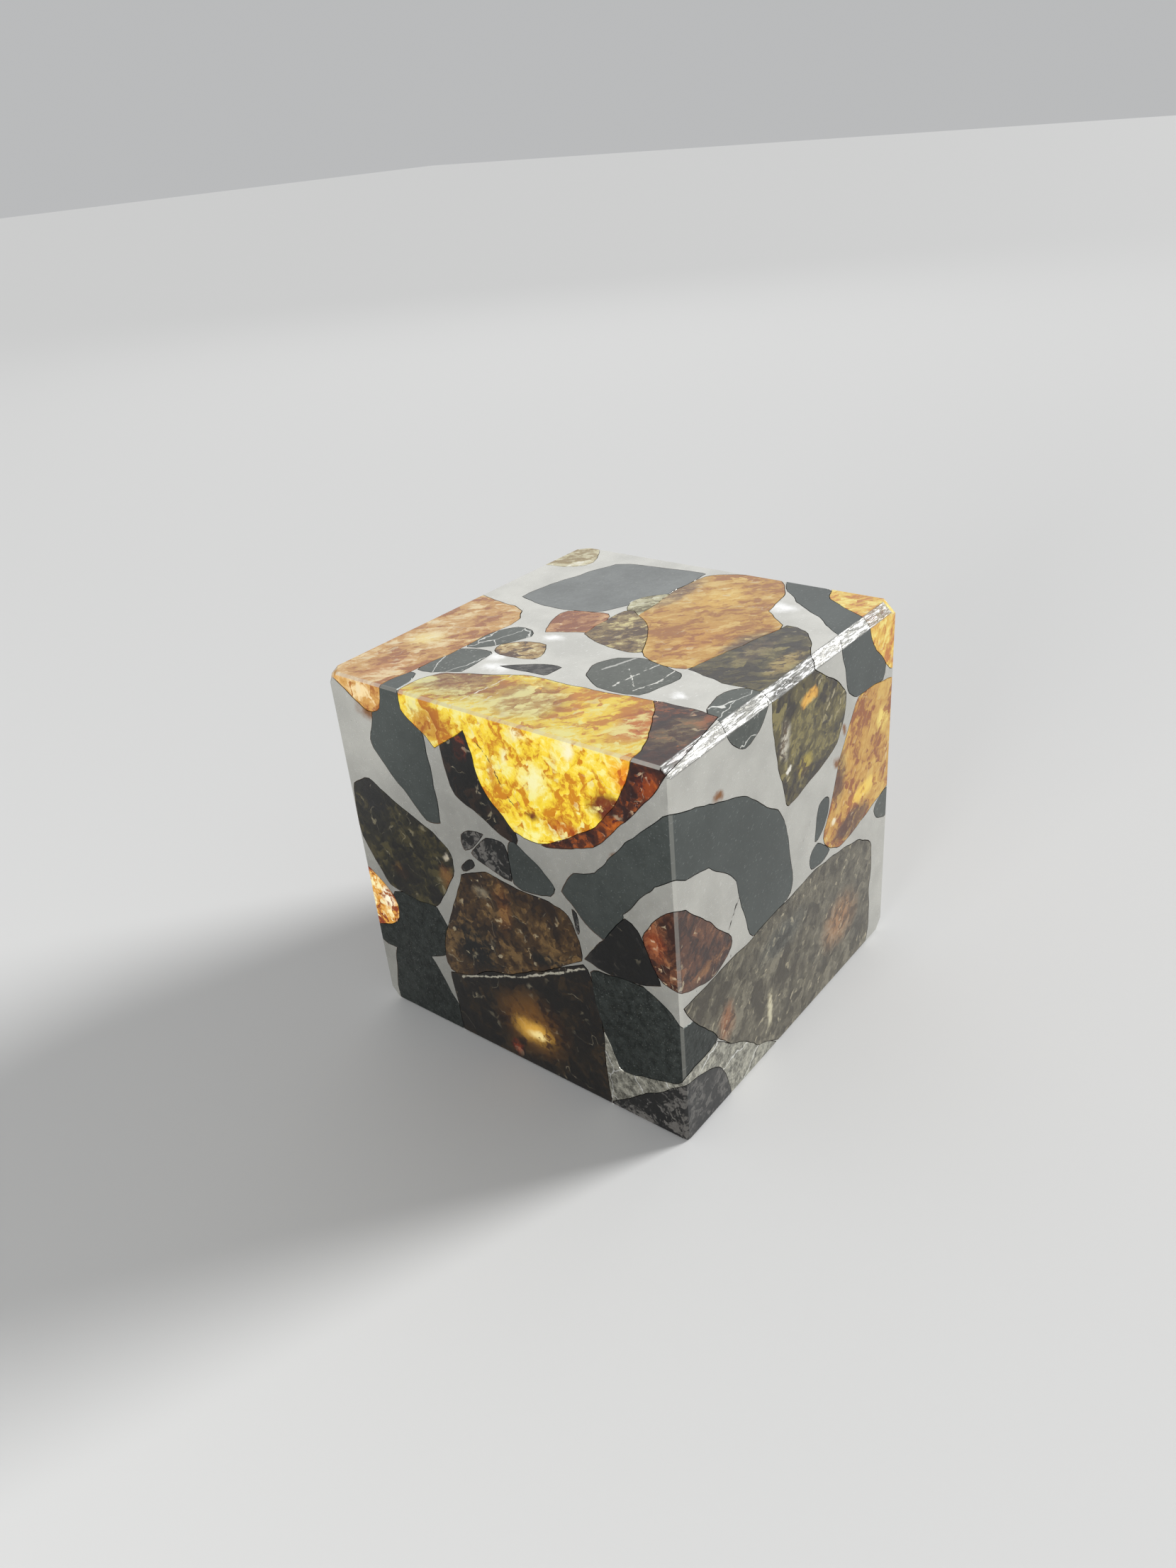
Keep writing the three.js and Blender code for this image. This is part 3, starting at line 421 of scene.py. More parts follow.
def metal_group():
    """Cloudy tone, fine polishing scratches, pale veins and the dents of buckled metal."""
    given = {"Mottle": 1.0, "Crinkle": 0.0, "Veins": 0.0}
    shown = {"Tone": "Float", "Scratches": "Float", "Grain": "Float", "Normal": "Vector"}
    tree, inputs = new_group("polished_metal", given, shown)
    place = place_in_mm(tree)
    broad = add_node(tree, "ShaderNodeTexNoise", in0=place, Scale=0.35, Detail=3.0)
    fine = add_node(tree, "ShaderNodeTexNoise", in0=place, Scale=6.0, Detail=4.0, Roughness=0.7)
    tone = ramp(tree, broad.outputs["Fac"], 0.3, 0.7, 0.90, 1.06)
    middle = add_node(tree, "ShaderNodeTexNoise", in0=place, Scale=1.9, Detail=3.0, Roughness=0.65)
    patches = ramp(tree, middle.outputs["Fac"], 0.36, 0.64, -0.6, 0.6)
    grain = maths(tree, "ADD", ramp(tree, fine.outputs["Fac"], 0.35, 0.65, -0.4, 0.4), patches)
    mottled = maths(tree, "MULTIPLY", maths(tree, "MULTIPLY", grain, 0.10), inputs["Mottle"])
    tone = maths(tree, "ADD", tone, mottled)
    turned = add_node(tree, "ShaderNodeVectorRotate", in0=place, Axis=(0.4, 0.5, 0.7), Angle=0.6)
    lanes = vector_maths(tree, "MULTIPLY", turned.outputs[0], (0.35, 9.0, 9.0))
    marks = add_node(tree, "ShaderNodeTexNoise", in0=lanes, Scale=1.0, Detail=3.0, Roughness=0.7)
    scratches = ramp(tree, marks.outputs["Fac"], 0.60, 0.70)
    buckled = add_node(tree, "ShaderNodeTexVoronoi", in0=wobbled(tree, place, 1.4, 1.0), Scale=2.6)
    dents = maths(tree, "MULTIPLY", buckled.outputs["Distance"], inputs["Crinkle"])
    cells = {"feature": "DISTANCE_TO_EDGE"}
    flat_lanes = vector_maths(tree, "MULTIPLY", wobbled(tree, place, 0.6, 1.2), (0.16, 0.42, 0.3))
    seams = add_node(tree, "ShaderNodeTexVoronoi", cells, in0=flat_lanes, Scale=1.0)
    seam_lines = ramp(tree, seams.outputs["Distance"], 0.004, 0.014, 1.0, 0.0)
    veins = maths(tree, "MULTIPLY", seam_lines, inputs["Veins"])
    scratches = maths(tree, "MAXIMUM", scratches, maths(tree, "MULTIPLY", veins, 2.2))
    height = maths(tree, "ADD", maths(tree, "MULTIPLY", scratches, 0.10), dents)
    height = maths(tree, "ADD", height, maths(tree, "MULTIPLY", ground_relief(tree), 8.0))
    speckle = maths(tree, "MULTIPLY", maths(tree, "MULTIPLY", grain, 0.03), inputs["Mottle"])
    height = maths(tree, "ADD", height, speckle)
    bump = add_node(tree, "ShaderNodeBump", Strength=0.3, Distance=0.03 * MM, Height=height)
    add_node(
        tree, "NodeGroupOutput", Tone=tone, Scratches=scratches, Grain=grain, Normal=bump.outputs[0],
    )
    return tree


METAL = metal_group()


def with_spots(tree, colour, spots):
    """Each spot is a tone, its centre and reach in mm, and how softly it fades."""
    for tone, centre, reach, softness in spots:
        mask = add_node(
            tree, "ShaderNodeGroup", {"node_tree": SOFT_SPOT},
            Centre=centre, Reach=reach, Softness=softness,
        )
        colour = blend(tree, mask.outputs[0], colour, linear(*tone))
    return colour


def with_lines(tree, colour, lines):
    """Each line is a tone, its two ends in mm and its width in mm."""
    options = {"node_tree": HAIRLINE}
    for tone, start, end, width in lines:
        mask = add_node(tree, "ShaderNodeGroup", options, From=start, To=end, Width=width)
        colour = blend(tree, mask.outputs[0], colour, linear(*tone))
    return colour


def ground_off(tree, shader, colour, roughness):
    """The ground flat is streaked light and dark; a thin pale line along the broken edges is a painted
    highlight.
    """
    flat = add_node(tree, "ShaderNodeGroup", {"node_tree": GROUND}).outputs
    strength = maths(tree, "MULTIPLY", flat["Mask"], flat["Streaks"])
    colour = blend(tree, maths(tree, "MULTIPLY", flat["Mask"], 0.8), colour, linear(84, 82, 78))
    colour = blend(tree, maths(tree, "MULTIPLY", strength, 0.85), colour, linear(226, 226, 222))
    # painted highlight: a thin pale line along the broken edges
    colour = blend(tree, maths(tree, "MULTIPLY", flat["Edges"], 0.8), colour, linear(240, 238, 228))
    tree.links.new(colour, shader.inputs["Base Color"])
    rough = maths(tree, "ADD", roughness, maths(tree, "MULTIPLY", flat["Mask"], 0.2))
    tree.links.new(rough, shader.inputs["Roughness"])


def metal_paint(
    name, tone, scratch_tone, roughness, mottle=0.3, crinkle=0.0, veins=0.0, spots=(), lines=(),
):
    paint, tree, shader = new_paint(name)
    options = {"node_tree": METAL}
    worn = add_node(
        tree, "ShaderNodeGroup", options, Mottle=mottle, Crinkle=crinkle, Veins=veins,
    ).outputs
    grey = add_node(
        tree, "ShaderNodeCombineColor", in0=worn["Tone"], in1=worn["Tone"], in2=worn["Tone"],
    )
    colour = blend(tree, 1.0, linear(*tone), grey.outputs[0], "MULTIPLY")
    marked = maths(tree, "MULTIPLY", worn["Scratches"], 0.4)
    colour = blend(tree, marked, colour, linear(*scratch_tone))
    colour = with_lines(tree, with_spots(tree, colour, spots), lines)
    tree.links.new(worn["Normal"], shader.inputs["Normal"])
    shader.inputs["Metallic"].default_value = 1.0
    rough = maths(tree, "ADD", roughness, maths(tree, "MULTIPLY", worn["Grain"], 0.03))
    ground_off(tree, shader, colour, rough)
    return paint


RUST = (150, 105, 70)
PAINTED_GLARE = (252, 252, 250)
CRACK = (52, 48, 44)
KAMACITE = metal_paint(
    "kamacite", tone=(204, 203, 196), scratch_tone=(250, 250, 248), roughness=0.25, mottle=0.12,
    lines=(
        (CRACK, (-7.6, -12.5, 12.4), (-6.3, -12.5, 13.9), 0.07),
        (CRACK, (-7.5, -12.5, 9.4), (-7.4, -12.5, 10.4), 0.06),
        (CRACK, (-11.1, -12.5, 10.0), (-11.0, -12.5, 10.6), 0.06),
    ),
    spots=(
        (RUST, (-8.2, -12.5, 21.3), (0.7, 0.5, 0.5), 0.8),
        (RUST, (5.2, -12.5, 17.0), (0.8, 0.5, 0.6), 0.8),
        (RUST, (5.9, -12.5, 18.9), (0.4, 0.5, 0.6), 0.8),
        (RUST, (-12.5, 9.2, 23.0), (0.5, 1.6, 0.9), 0.8),
        (RUST, (-12.5, -8.9, 18.5), (0.5, 0.8, 0.6), 0.8),
        # painted glare: white spots on the top face stand for reflections of the lights
        (PAINTED_GLARE, (-7.4, 3.4, 25.0), (0.8, 1.3, 0.5), 0.9),
        (PAINTED_GLARE, (-5.9, 4.4, 25.0), (0.9, 0.8, 0.5), 0.9),
        (PAINTED_GLARE, (-2.2, 3.2, 25.0), (0.8, 1.2, 0.5), 0.9),
        (PAINTED_GLARE, (-5.4, -8.2, 25.0), (0.7, 0.8, 0.5), 0.9),
        (PAINTED_GLARE, (-2.2, -8.6, 25.0), (0.6, 1.6, 0.5), 0.9),
        (PAINTED_GLARE, (8.2, -6.8, 25.0), (1.0, 1.6, 0.5), 0.9),
    ),
)

# A dark film on the cavity walls just under the polished faces: painted shade that keeps the clearance
# between metal and crystal dark, not an oxide of the metal.
SEAM_SHADE_DARK = (30, 22, 16)
SEAM_SHADE_PALE = (58, 46, 36)
SEAM_SHADE_ROUGHNESS = 0.8
SEAM_SHADE_DEPTH = 0.4 * MM
SKIN = 0.015 * MM
WORN_CORNER = 1.0 * MM

SEAM_SHADE, tree, shader = new_paint("kamacite_seam_shade")
film = add_node(tree, "ShaderNodeGroup", {"node_tree": METAL}, Mottle=3.0).outputs
film_tone = blend(tree, film["Tone"], linear(*SEAM_SHADE_DARK), linear(*SEAM_SHADE_PALE))
tree.links.new(film_tone, shader.inputs["Base Color"])
shader.inputs["Roughness"].default_value = SEAM_SHADE_ROUGHNESS


def is_seam_shade(point):
    """True just under the polished faces, on the walls of a cavity in the metal, where the dark film
    of painted shade goes.
    """
    depths = depths_of(point)
    on_flat = point.z - point.y > SIDE + HALF - FLAT_LEG - SKIN
    on_edge = depths[1] < EDGE_LEG + SKIN
    on_corner = depths[2] < WORN_CORNER
    return SKIN < depths[0] < SEAM_SHADE_DEPTH and not (on_flat or on_edge or on_corner)


skeleton = grown("kamacite_skeleton", KAMACITE)
skeleton.data.materials.append(SEAM_SHADE)
for face in skeleton.data.polygons:
    face.material_index = int(is_seam_shade(face.center))

# ---- Buckled kamacite band ------------------------------------------------------------------
# A sheared band of the same metal at the lower front corner, its polish broken into crinkles.
# In the rock it is one with the skeleton.
def grow_all(paints):
    for node, paint in paints.items():
        grown(node, paint)


grow_all({"kamacite_etched_band": metal_paint(
    "kamacite_etched", tone=(172, 170, 158), scratch_tone=(250, 250, 246), roughness=0.34,
    mottle=6.5, crinkle=4.0, veins=1.0,
)})

# ---- Plessite fields ------------------------------------------------------------------------
# Dark fine-grained pockets of nickel-iron between the bright walls. They formed in place as the
# metal cooled and are polished flush with it.
PALE_VEIN = (225, 224, 216)
PLESSITE = metal_paint(
    "plessite", tone=(92, 97, 95), scratch_tone=(170, 176, 174), roughness=0.31, mottle=0.4,
)
SPECKLED = metal_paint(
    "plessite_speckled", tone=(66, 70, 68), scratch_tone=(170, 174, 170), roughness=0.38,
    mottle=3.6, crinkle=1.6,
)
VEINED = metal_paint(
    "plessite_veined", tone=(100, 104, 100), scratch_tone=(236, 236, 230), roughness=0.31,
    mottle=1.2, veins=1.0,
)
CLOUDED = metal_paint(
    "plessite_clouded", tone=(134, 137, 136), scratch_tone=(190, 192, 190), roughness=0.36,
    mottle=1.2,
)
OVAL = metal_paint(
    "plessite_oval", tone=(104, 107, 102), scratch_tone=(200, 200, 196), roughness=0.31,
    mottle=1.4,
    lines=(
        (PALE_VEIN, (-6.1, -4.3, 25.0), (-1.8, -5.1, 25.0), 0.07),
        (PALE_VEIN, (-6.1, -5.7, 25.0), (-4.2, -6.4, 25.0), 0.07),
        (PALE_VEIN, (-4.6, -6.3, 25.0), (-1.9, -6.2, 25.0), 0.08),
        (PALE_VEIN, (-5.6, -5.4, 25.0), (-3.8, -3.8, 25.0), 0.05),
        ((190, 190, 184), (-4.6, -2.4, 25.0), (-2.4, -3.2, 25.0), 0.12),
    ),
)
PLESSITE_FINISH = {
    "plessite_corner": SPECKLED, "plessite_west_low": SPECKLED, "plessite_oval": OVAL,
    "plessite_north_east": CLOUDED, "plessite_notch": VEINED, "plessite_north_west": VEINED,
    "plessite_north_mid": VEINED, "plessite_south_east": VEINED,
}
grow_all({
    node: PLESSITE_FINISH.get(node, PLESSITE)
    for node, slot in SLOT_OF.items() if slot == "plessite"
})

# ---- Troilite -------------------------------------------------------------------------------
# Small black sulphide grains pinched between the metal and the crystals. They are softer than
# either, and take a duller polish than the crystals.
def facets(tree, place, scale):
    """Angular fracture planes: a random tone for each plane, and a painted shading across it, as if
    light fell on each plane at its own tilt.
    """
    cells = add_node(tree, "ShaderNodeTexVoronoi", in0=place, Scale=scale)
    tone = add_node(tree, "ShaderNodeSeparateColor", in0=cells.outputs["Color"]).outputs[0]
    tilt = vector_maths(tree, "SUBTRACT", cells.outputs["Color"], NOISE_MIDDLE)
    away = vector_maths(tree, "SUBTRACT", place, cells.outputs["Position"])
    dot = {"operation": "DOT_PRODUCT"}
    slope = add_node(tree, "ShaderNodeVectorMath", dot, in0=away, in1=tilt)
    return tone, maths(tree, "MULTIPLY", slope.outputs["Value"], scale)


def crystal_group():
    """Broad and chipped fracture planes with painted shading, cloudy depth, hair cracks and painted
    glints.
    """
    given = {"Facet Size": 1.0, "Fracture": 0.5, "Bump": 0.35}
    shown = {"Shade": "Float", "Cracks": "Float", "Flecks": "Float", "Normal": "Vector"}
    tree, inputs = new_group("crystal_fabric", given, shown)
    place = place_in_mm(tree)
    bent = wobbled(tree, place, 0.9, 0.9)
    turned = add_node(tree, "ShaderNodeVectorRotate", in0=bent, Axis=(0.5, 0.3, 0.8), Angle=0.9)
    drawn = vector_maths(tree, "MULTIPLY", turned.outputs[0], (0.45, 1.25, 0.9))
    fine = maths(tree, "DIVIDE", 1.0, inputs["Facet Size"])
    broad_tone, broad_slope = facets(tree, drawn, maths(tree, "MULTIPLY", fine, 0.7))
    chip_tone, chip_slope = facets(tree, drawn, maths(tree, "MULTIPLY", fine, 2.3))
    cloud = add_node(
        tree, "ShaderNodeTexNoise", in0=place, Scale=0.42, Detail=4.0, Roughness=0.6, Distortion=0.4,
    )
    clouded = ramp(tree, cloud.outputs["Fac"], 0.34, 0.66, 0.0, 0.34)
    strands = add_node(tree, "ShaderNodeTexNoise", in0=drawn, Scale=2.2, Detail=6.0, Roughness=0.75)
    crumpled = ramp(tree, strands.outputs["Fac"], 0.34, 0.66)
    shade = maths(tree, "MULTIPLY", broad_tone, 0.20)
    weights = (
        (broad_slope, 0.55), (chip_tone, 0.20), (chip_slope, 0.45), (clouded, 1.0), (crumpled, 0.28),
    )
    for part, weight in weights:
        shade = maths(tree, "ADD", shade, maths(tree, "MULTIPLY", part, weight))
    broken = add_node(tree, "ShaderNodeTexNoise", in0=place, Scale=0.9, Detail=2.0)
    gaps = ramp(tree, broken.outputs["Fac"], 0.48, 0.62)
    contour = add_node(tree, "ShaderNodeTexNoise", in0=drawn, Scale=0.35, Detail=2.0, Roughness=0.4)
    level = maths(tree, "SUBTRACT", contour.outputs["Fac"], 0.5)
    level = add_node(tree, "ShaderNodeMath", {"operation": "ABSOLUTE"}, in0=level).outputs[0]
    hair_lines = ramp(tree, level, 0.0, 0.006, 1.0, 0.0)
    cracks = maths(tree, "MULTIPLY", maths(tree, "MULTIPLY", hair_lines, gaps), inputs["Fracture"])
    chipped = maths(tree, "ADD", chip_tone, maths(tree, "MULTIPLY", chip_slope, 0.8))
    # painted glints: the brightest chips are lit up as if they caught the light
    painted_glints = maths(tree, "MULTIPLY", ramp(tree, chipped, 0.94, 1.0), gaps)
    height = maths(tree, "ADD", shade, maths(tree, "MULTIPLY", ground_relief(tree), 6.0))
    bump = add_node(
        tree, "ShaderNodeBump", Strength=inputs["Bump"], Distance=0.04 * MM, Height=height,
    )
    add_node(
        tree, "NodeGroupOutput", Shade=shade, Cracks=cracks, Flecks=painted_glints, Normal=bump.outputs[0],
    )
    return tree


CRYSTAL = crystal_group()
TROILITE_BLACK = (8, 8, 8)
TROILITE_SHEEN = (150, 146, 140)
TROILITE_ROUGHNESS = 0.25

TROILITE, tree, shader = new_paint("troilite")
fabric = add_node(tree, "ShaderNodeGroup", {"node_tree": CRYSTAL}, Facet_Size=0.5).outputs
sheen = ramp(tree, fabric["Shade"], 0.42, 0.72, 0.0, 0.22)
troilite_tone = blend(tree, sheen, linear(*TROILITE_BLACK), linear(*TROILITE_SHEEN))
tree.links.new(troilite_tone, shader.inputs["Base Color"])
tree.links.new(fabric["Normal"], shader.inputs["Normal"])
shader.inputs["Roughness"].default_value = TROILITE_ROUGHNESS
grow_all({node: TROILITE for node, slot in SLOT_OF.items() if slot == "troilite"})

# ---- Golden olivine -------------------------------------------------------------------------
# Clear golden crystals, cut through and polished; the light that gathers on the fractures inside them
# is painted into their colour.
# The metal set round them and holds them.
OLIVINE_IOR = 1.55
OLIVINE_SPECULAR = 0.36
POLISH = 0.12


def crystal_paint(
    name, shade_tone, body, light, facet=1.0, fracture=0.35, crack_and_glint=(225, 212, 176), spots=(), lines=(),
    painted_glints=0.4, clear=0.3,
):
    """A crystal's body colour, darkened by painted shade and lightened by painted light across its
    fractures, partly by random tone, with cracks, painted glints, spots and lines.
    """
    paint, tree, shader = new_paint(name)
    fabric = add_node(
        tree, "ShaderNodeGroup", {"node_tree": CRYSTAL}, Facet_Size=facet, Fracture=fracture,
    ).outputs
    low = ramp(tree, fabric["Shade"], 0.24, 0.50)
    high = ramp(tree, fabric["Shade"], 0.50, 0.84)
    spotted = with_spots(tree, linear(*body), spots)
    darker = blend(tree, 1.0, spotted, linear(*shade_tone), "MULTIPLY")
    colour = blend(tree, low, darker, spotted)
    lighter = blend(tree, 1.0, spotted, linear(*light), "SCREEN")
    colour = blend(tree, high, colour, lighter)
    colour = blend(tree, fabric["Cracks"], colour, linear(*crack_and_glint))
    # painted glints, in the same pale tone as the cracks
    glints = maths(tree, "MULTIPLY", fabric["Flecks"], painted_glints)
    colour = with_lines(tree, blend(tree, glints, colour, linear(*crack_and_glint)), lines)
    ground_off(tree, shader, colour, POLISH)
    tree.links.new(fabric["Normal"], shader.inputs["Normal"])
    shader.inputs["IOR"].default_value = OLIVINE_IOR
    shader.inputs["Specular IOR Level"].default_value = OLIVINE_SPECULAR
    shader.inputs["Transmission Weight"].default_value = clear
    return paint


GOLD = {
    "olivine_gold_edge": crystal_paint(
        "gold_edge", shade_tone=(206, 150, 64), body=(255, 224, 56), light=(236, 232, 150),
        facet=1.1, fracture=0.4, clear=0.45,
        lines=(
            ((250, 246, 225), (-12.5, 2.3, 25.0), (-7.7, 1.7, 25.0), 0.06),
            ((235, 225, 190), (-12.3, 1.0, 25.0), (-9.8, 0.9, 25.0), 0.05),
            ((70, 40, 12), (-12.5, -0.1, 22.5), (-12.5, -1.7, 19.8), 0.06),
            ((70, 40, 12), (-12.5, 0.8, 23.4), (-12.5, -0.1, 22.5), 0.05),
        ),
        # painted glow: the pale yellow and near-white spots on the left face stand for light that
        # enters by the top and leaves by the left face
        spots=(
            ((244, 150, 20), (-12.5, -10.0, 23.8), (2.0, 1.6, 1.8), 0.9),
            ((120, 55, 12), (-12.5, -8.4, 21.6), (1.5, 1.5, 1.2), 0.6),
            ((200, 116, 20), (-12.5, -6.0, 19.3), (1.5, 3.0, 1.0), 0.7),
            ((255, 235, 90), (-12.5, -2.6, 18.2), (1.2, 1.3, 0.7), 0.5),
            ((255, 244, 150), (-12.5, -3.4, 21.9), (2.0, 1.6, 1.4), 0.9),
            ((255, 252, 206), (-12.5, -6.2, 24.4), (1.0, 0.6, 0.8), 0.9),
            ((255, 252, 206), (-12.5, -2.6, 24.5), (1.0, 0.9, 0.6), 0.9),
            ((255, 250, 190), (-12.5, -1.5, 22.9), (1.0, 0.5, 0.8), 0.9),
            ((206, 136, 36), (-12.5, -0.4, 21.4), (1.0, 0.45, 1.8), 0.95),
            ((206, 130, 30), (-12.5, -5.0, 23.2), (1.0, 0.35, 1.3), 0.95),
            ((122, 70, 20), (-12.5, -3.1, 19.5), (1.0, 0.7, 0.4), 0.9),
            ((96, 48, 14), (-12.5, -9.0, 20.9), (1.2, 0.8, 1.0), 0.9),
            ((110, 72, 26), (-12.5, 5.2, 24.2), (1.0, 0.6, 0.5), 0.9),
            ((204, 152, 50), (-12.5, 4.2, 23.4), (1.5, 2.6, 1.8), 0.8),
            ((176, 140, 78), (-9.8, 4.6, 25.0), (3.0, 4.8, 1.2), 0.6),
            ((190, 155, 80), (-9.8, -1.2, 25.0), (3.0, 3.4, 1.2), 0.6),
            ((205, 120, 40), (-9.2, -8.4, 25.0), (3.4, 1.6, 1.2), 0.6),
        ),
    ),
    "olivine_crown": crystal_paint(
        "crown", shade_tone=(206, 172, 134), body=(204, 152, 58), light=(176, 150, 96),
        facet=1.2,
        spots=(
            ((206, 146, 52), (1.5, -5.0, 25.0), (4.0, 2.0, 1.5), 0.8),
            ((226, 176, 70), (8.0, -2.6, 25.0), (3.5, 2.2, 1.5), 0.8),
            ((140, 108, 66), (7.5, 0.6, 25.0), (4.0, 1.2, 1.5), 0.6),
            ((110, 90, 66), (2.0, -8.0, 25.0), (3.5, 1.4, 1.5), 0.7),
        ),
    ),
    "olivine_pale_nose": crystal_paint(
        "pale_nose", shade_tone=(150, 140, 110), body=(196, 190, 150), light=(240, 236, 205),
    ),
    "olivine_back_edge": crystal_paint(
        "back_edge", shade_tone=(200, 158, 112), body=(204, 152, 76), light=(210, 190, 150),
        facet=1.4,
        spots=(
            ((200, 140, 72), (-10.5, 9.4, 25.0), (3.0, 1.6, 1.5), 0.8),
            ((245, 215, 130), (-6.0, 10.4, 25.0), (1.6, 1.6, 1.5), 0.8),
        ),
    ),
    "olivine_north_east": crystal_paint(
        "north_east", shade_tone=(180, 160, 120), body=(214, 205, 165), light=(250, 245, 225),
    ),
    "olivine_seed": crystal_paint(
        "seed", shade_tone=(120, 90, 45), body=(176, 142, 84), light=(240, 225, 170),
        facet=0.7,
    ),
    "olivine_east_tip": crystal_paint(
        "east_tip", shade_tone=(215, 160, 90), body=(232, 186, 66), light=(240, 215, 120),
        facet=0.9,
    ),
    "olivine_east": crystal_paint(
        "east", shade_tone=(190, 142, 92), body=(200, 148, 58), light=(150, 126, 66),
        facet=1.0,
        spots=(
            ((104, 66, 32), (5.2, -12.5, 16.0), (1.4, 2.0, 2.8), 0.7),
            ((112, 76, 40), (7.2, -12.5, 11.6), (3.0, 2.0, 1.2), 0.5),
            ((250, 222, 110), (11.2, -12.5, 17.4), (1.0, 1.5, 1.2), 0.8),
            ((246, 200, 72), (8.6, -12.5, 13.2), (2.8, 1.5, 0.8), 0.7),
            # painted glint: a small near-white speck
            ((255, 240, 200), (4.9, -12.5, 12.9), (0.5, 1.0, 0.4), 0.7),
        ),
    ),
    "olivine_west_edge": crystal_paint(
        "west_edge", shade_tone=(150, 80, 30), body=(224, 158, 58), light=(255, 235, 180),
        facet=0.8,
        spots=(
            # painted glint: a bright cream spot in the brown crystal
            ((255, 246, 214), (-12.5, 10.8, 9.0), (1.0, 0.8, 1.0), 0.6),
        ),
    ),
    "olivine_right_mid": crystal_paint(
        "right_mid", shade_tone=(214, 176, 130), body=(196, 146, 58), light=(170, 146, 84),
        facet=1.4,
    ),
    "olivine_back_base": crystal_paint(
        "back_base", shade_tone=(214, 176, 130), body=(190, 140, 56), light=(170, 140, 80),
        facet=1.4,
    ),
}
grow_all(GOLD)

# ---- Amber olivine --------------------------------------------------------------------------
# Crystals stained red-brown by the iron around them, with orange where the stain is thin. They
# are held in the metal and polished like the golden ones.
AMBER = {
    "olivine_amber_rim": crystal_paint(
        "amber_rim", shade_tone=(150, 90, 60), body=(66, 30, 14), light=(130, 66, 24),
        facet=0.9, fracture=0.3,
        spots=(
            ((150, 74, 14), (-12.5, -8.8, 20.6), (1.0, 1.4, 0.8), 0.8),
            ((130, 56, 12), (-12.5, -11.2, 23.6), (1.0, 1.0, 1.2), 0.8),
            ((112, 92, 62), (-9.0, -10.6, 25.0), (2.6, 1.4, 1.0), 0.6),
        ),
    ),
    "olivine_amber_north": crystal_paint(
        "amber_north", shade_tone=(196, 150, 110), body=(184, 128, 76), light=(190, 150, 110),
    ),
    "olivine_red": crystal_paint(
        "red", shade_tone=(140, 104, 84), body=(84, 50, 32), light=(104, 70, 46),
        facet=0.9, fracture=0.3,
        spots=(
            ((112, 48, 16), (-12.5, -11.0, 14.0), (1.0, 1.0, 1.6), 0.8),
            ((124, 84, 50), (-9.2, -12.5, 11.2), (2.6, 1.0, 0.6), 0.8),
        ),
    ),
    "olivine_right_base": crystal_paint(
        "right_base", shade_tone=(170, 130, 104), body=(118, 72, 36), light=(124, 84, 44),
        facet=1.0,
    ),
    "olivine_back_mid": crystal_paint(
        "back_mid", shade_tone=(170, 130, 104), body=(108, 62, 30), light=(116, 76, 40),
        facet=1.0,
    ),
}
grow_all(AMBER)
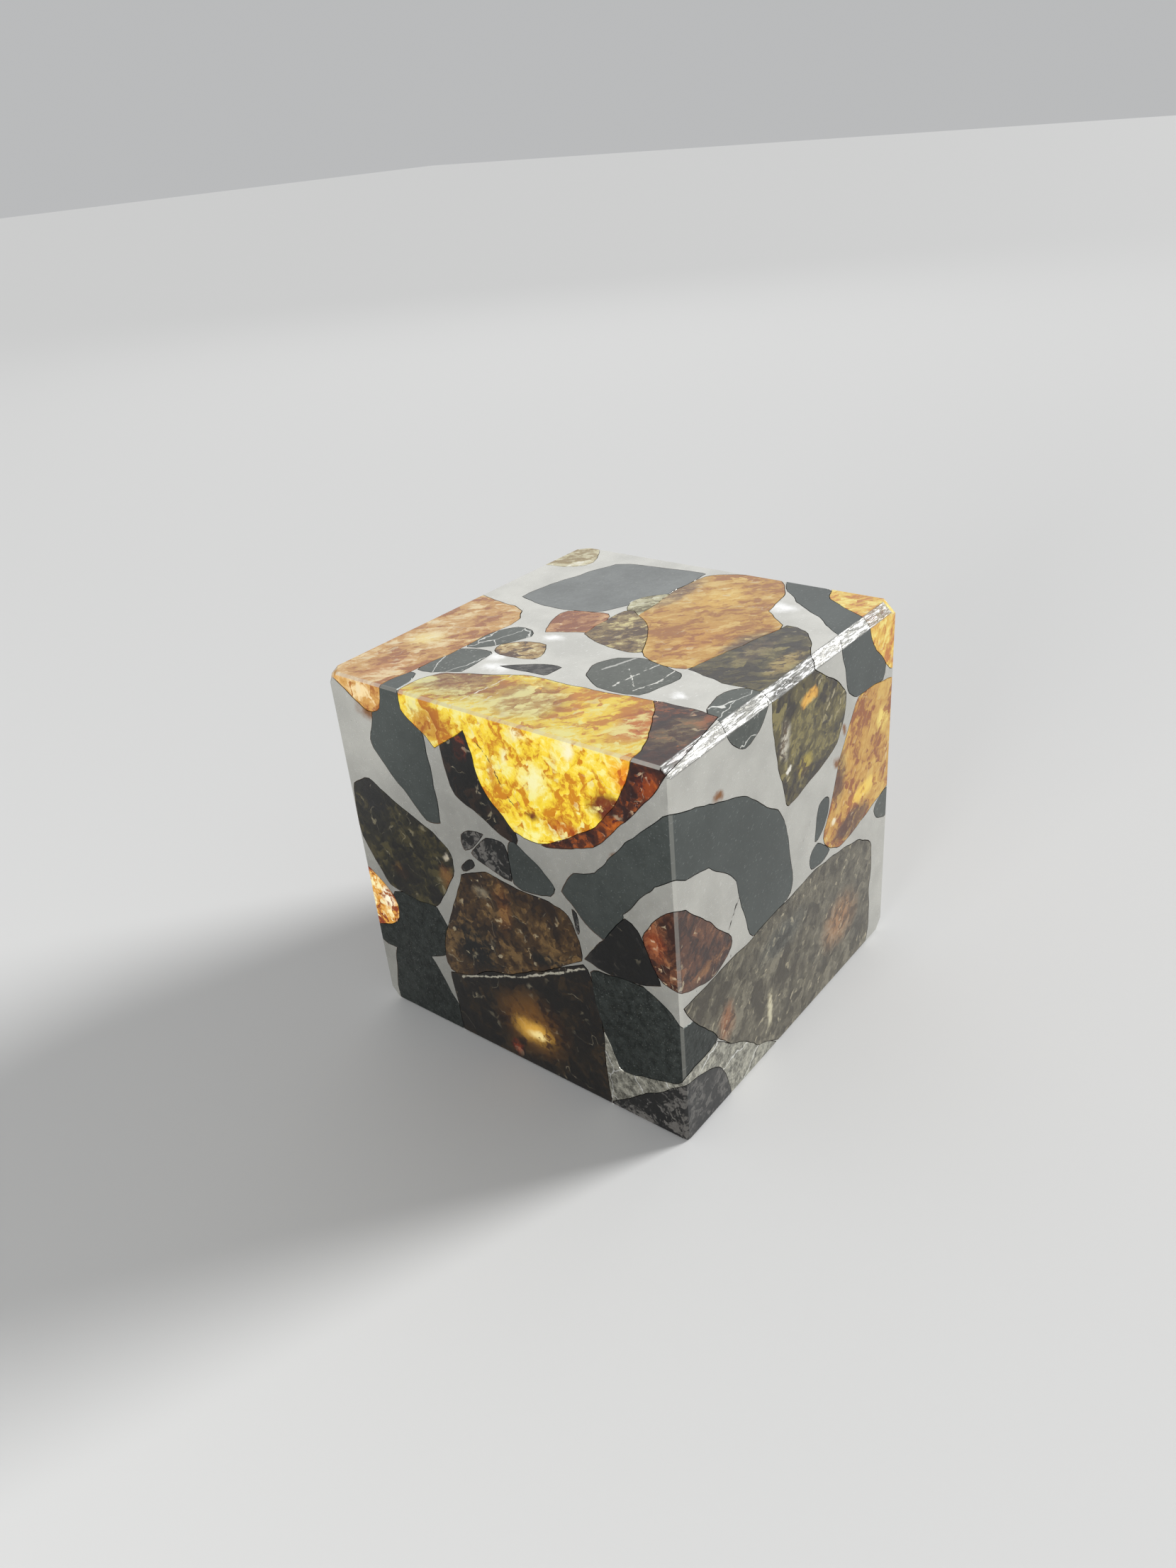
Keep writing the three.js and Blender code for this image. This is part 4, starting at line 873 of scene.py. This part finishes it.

# ---- Dark olivine ---------------------------------------------------------------------------
# Deep crystals with little light behind them: olive-brown to black, with a painted glow only where
# a fracture turns the light back.
DARK = {
    "olivine_spear": crystal_paint(
        "spear", shade_tone=(120, 100, 70), body=(86, 76, 38), light=(120, 110, 66),
        clear=0.4, facet=0.9, fracture=0.3,
        spots=(
            # painted glow and glints: the golden and near-white spots on the front face
            ((250, 184, 60), (1.4, -12.5, 23.0), (1.3, 1.0, 0.6), 0.5),
            ((176, 156, 60), (1.0, -12.5, 18.8), (1.3, 1.0, 0.9), 0.7),
            ((220, 214, 196), (-1.3, -12.5, 21.4), (0.7, 1.0, 1.7), 0.9),
            ((255, 250, 235), (-1.0, -12.5, 19.5), (0.4, 0.8, 0.35), 0.6),
            ((176, 150, 84), (1.2, -11.2, 25.0), (2.6, 0.9, 0.8), 0.7),
            ((84, 66, 48), (1.8, -8.8, 25.0), (3.2, 1.2, 0.8), 0.7),
        ),
    ),
    "olivine_brown_north": crystal_paint(
        "brown_north", shade_tone=(150, 120, 80), body=(140, 116, 70), light=(226, 210, 140),
    ),
    "olivine_south": crystal_paint(
        "south", shade_tone=(166, 158, 144), body=(92, 86, 70), light=(92, 88, 76),
        facet=0.8, fracture=0.15, painted_glints=0.3,
        spots=(
            ((140, 92, 58), (-8.0, -12.5, 6.0), (1.2, 1.2, 2.0), 0.8),
            ((158, 116, 76), (6.0, -12.5, 4.6), (3.2, 1.5, 2.6), 0.9),
            ((204, 196, 164), (-3.2, -12.5, 3.4), (0.5, 1.2, 1.8), 0.7),
            ((74, 74, 66), (-1.5, -12.5, 8.0), (4.0, 1.5, 1.6), 0.8),
        ),
    ),
    "olivine_black_wedge": crystal_paint(
        "black_wedge", shade_tone=(90, 90, 90), body=(8, 8, 8), light=(34, 32, 30),
        painted_glints=0.06, fracture=0.0,
    ),
    "olivine_black_west": crystal_paint(
        "black_west", shade_tone=(90, 80, 70), body=(10, 7, 5), light=(40, 28, 20),
        painted_glints=0.2,
        spots=(
            ((112, 44, 16), (-12.5, 1.9, 22.6), (0.8, 0.6, 1.2), 0.7),
        ),
    ),
    "olivine_west": crystal_paint(
        "west", shade_tone=(130, 118, 100), body=(30, 28, 16), light=(58, 52, 30),
        facet=1.1, painted_glints=0.12, fracture=0.15,
        spots=(
            ((92, 58, 26), (-12.5, 4.8, 12.6), (1.0, 0.9, 1.4), 0.9),
            ((70, 50, 22), (-12.5, 9.0, 11.6), (1.0, 1.0, 0.8), 0.9),
            ((160, 152, 136), (-12.5, 4.6, 14.4), (0.6, 0.35, 0.4), 0.7),
            ((12, 12, 11), (-12.5, 10.4, 16.4), (1.0, 2.4, 1.4), 0.8),
        ),
    ),
    "olivine_west_core": crystal_paint(
        "west_core", shade_tone=(140, 118, 92), body=(54, 38, 19), light=(84, 66, 40),
        facet=0.9, painted_glints=0.25, fracture=0.15,
        spots=(
            ((10, 9, 8), (-12.5, 3.0, 8.0), (1.5, 2.6, 2.6), 0.7),
            ((84, 52, 22), (-12.5, 0.2, 12.0), (1.2, 0.8, 2.6), 0.8),
            ((104, 96, 80), (-12.5, 1.8, 12.6), (0.8, 1.0, 0.7), 0.9),
            ((16, 14, 12), (-12.5, -3.0, 9.4), (1.0, 2.6, 0.8), 0.8),
        ),
    ),
    "olivine_west_base": crystal_paint(
        "west_base", shade_tone=(140, 118, 92), body=(20, 15, 9), light=(40, 30, 16),
        facet=1.2, painted_glints=0.08, fracture=0.15,
        spots=(
            ((100, 66, 24), (-12.5, -1.0, 3.6), (1.5, 3.6, 3.2), 0.9),
            # painted glow: these golden and pale yellow spots, where a fracture turns the light back
            ((216, 164, 66), (-12.5, -1.0, 3.0), (1.2, 2.3, 1.3), 0.95),
            ((246, 222, 150), (-12.5, -1.4, 2.7), (1.0, 1.1, 0.5), 0.8),
            ((120, 48, 20), (-12.5, 0.6, 1.0), (1.0, 0.7, 0.7), 0.8),
        ),
        lines=(
            ((150, 146, 132), (-12.5, 4.8, 4.9), (-12.5, -0.6, 7.2), 0.10),
            ((150, 146, 132), (-12.5, -0.6, 7.2), (-12.5, -5.8, 10.0), 0.10),
        ),
    ),
    "olivine_right_back": crystal_paint(
        "right_back", shade_tone=(160, 150, 130), body=(78, 70, 46), light=(92, 84, 58),
        facet=1.1,
    ),
    "olivine_base_north": crystal_paint(
        "base_north", shade_tone=(160, 150, 130), body=(66, 58, 40), light=(84, 76, 54),
        facet=1.1,
    ),
}
grow_all(DARK)
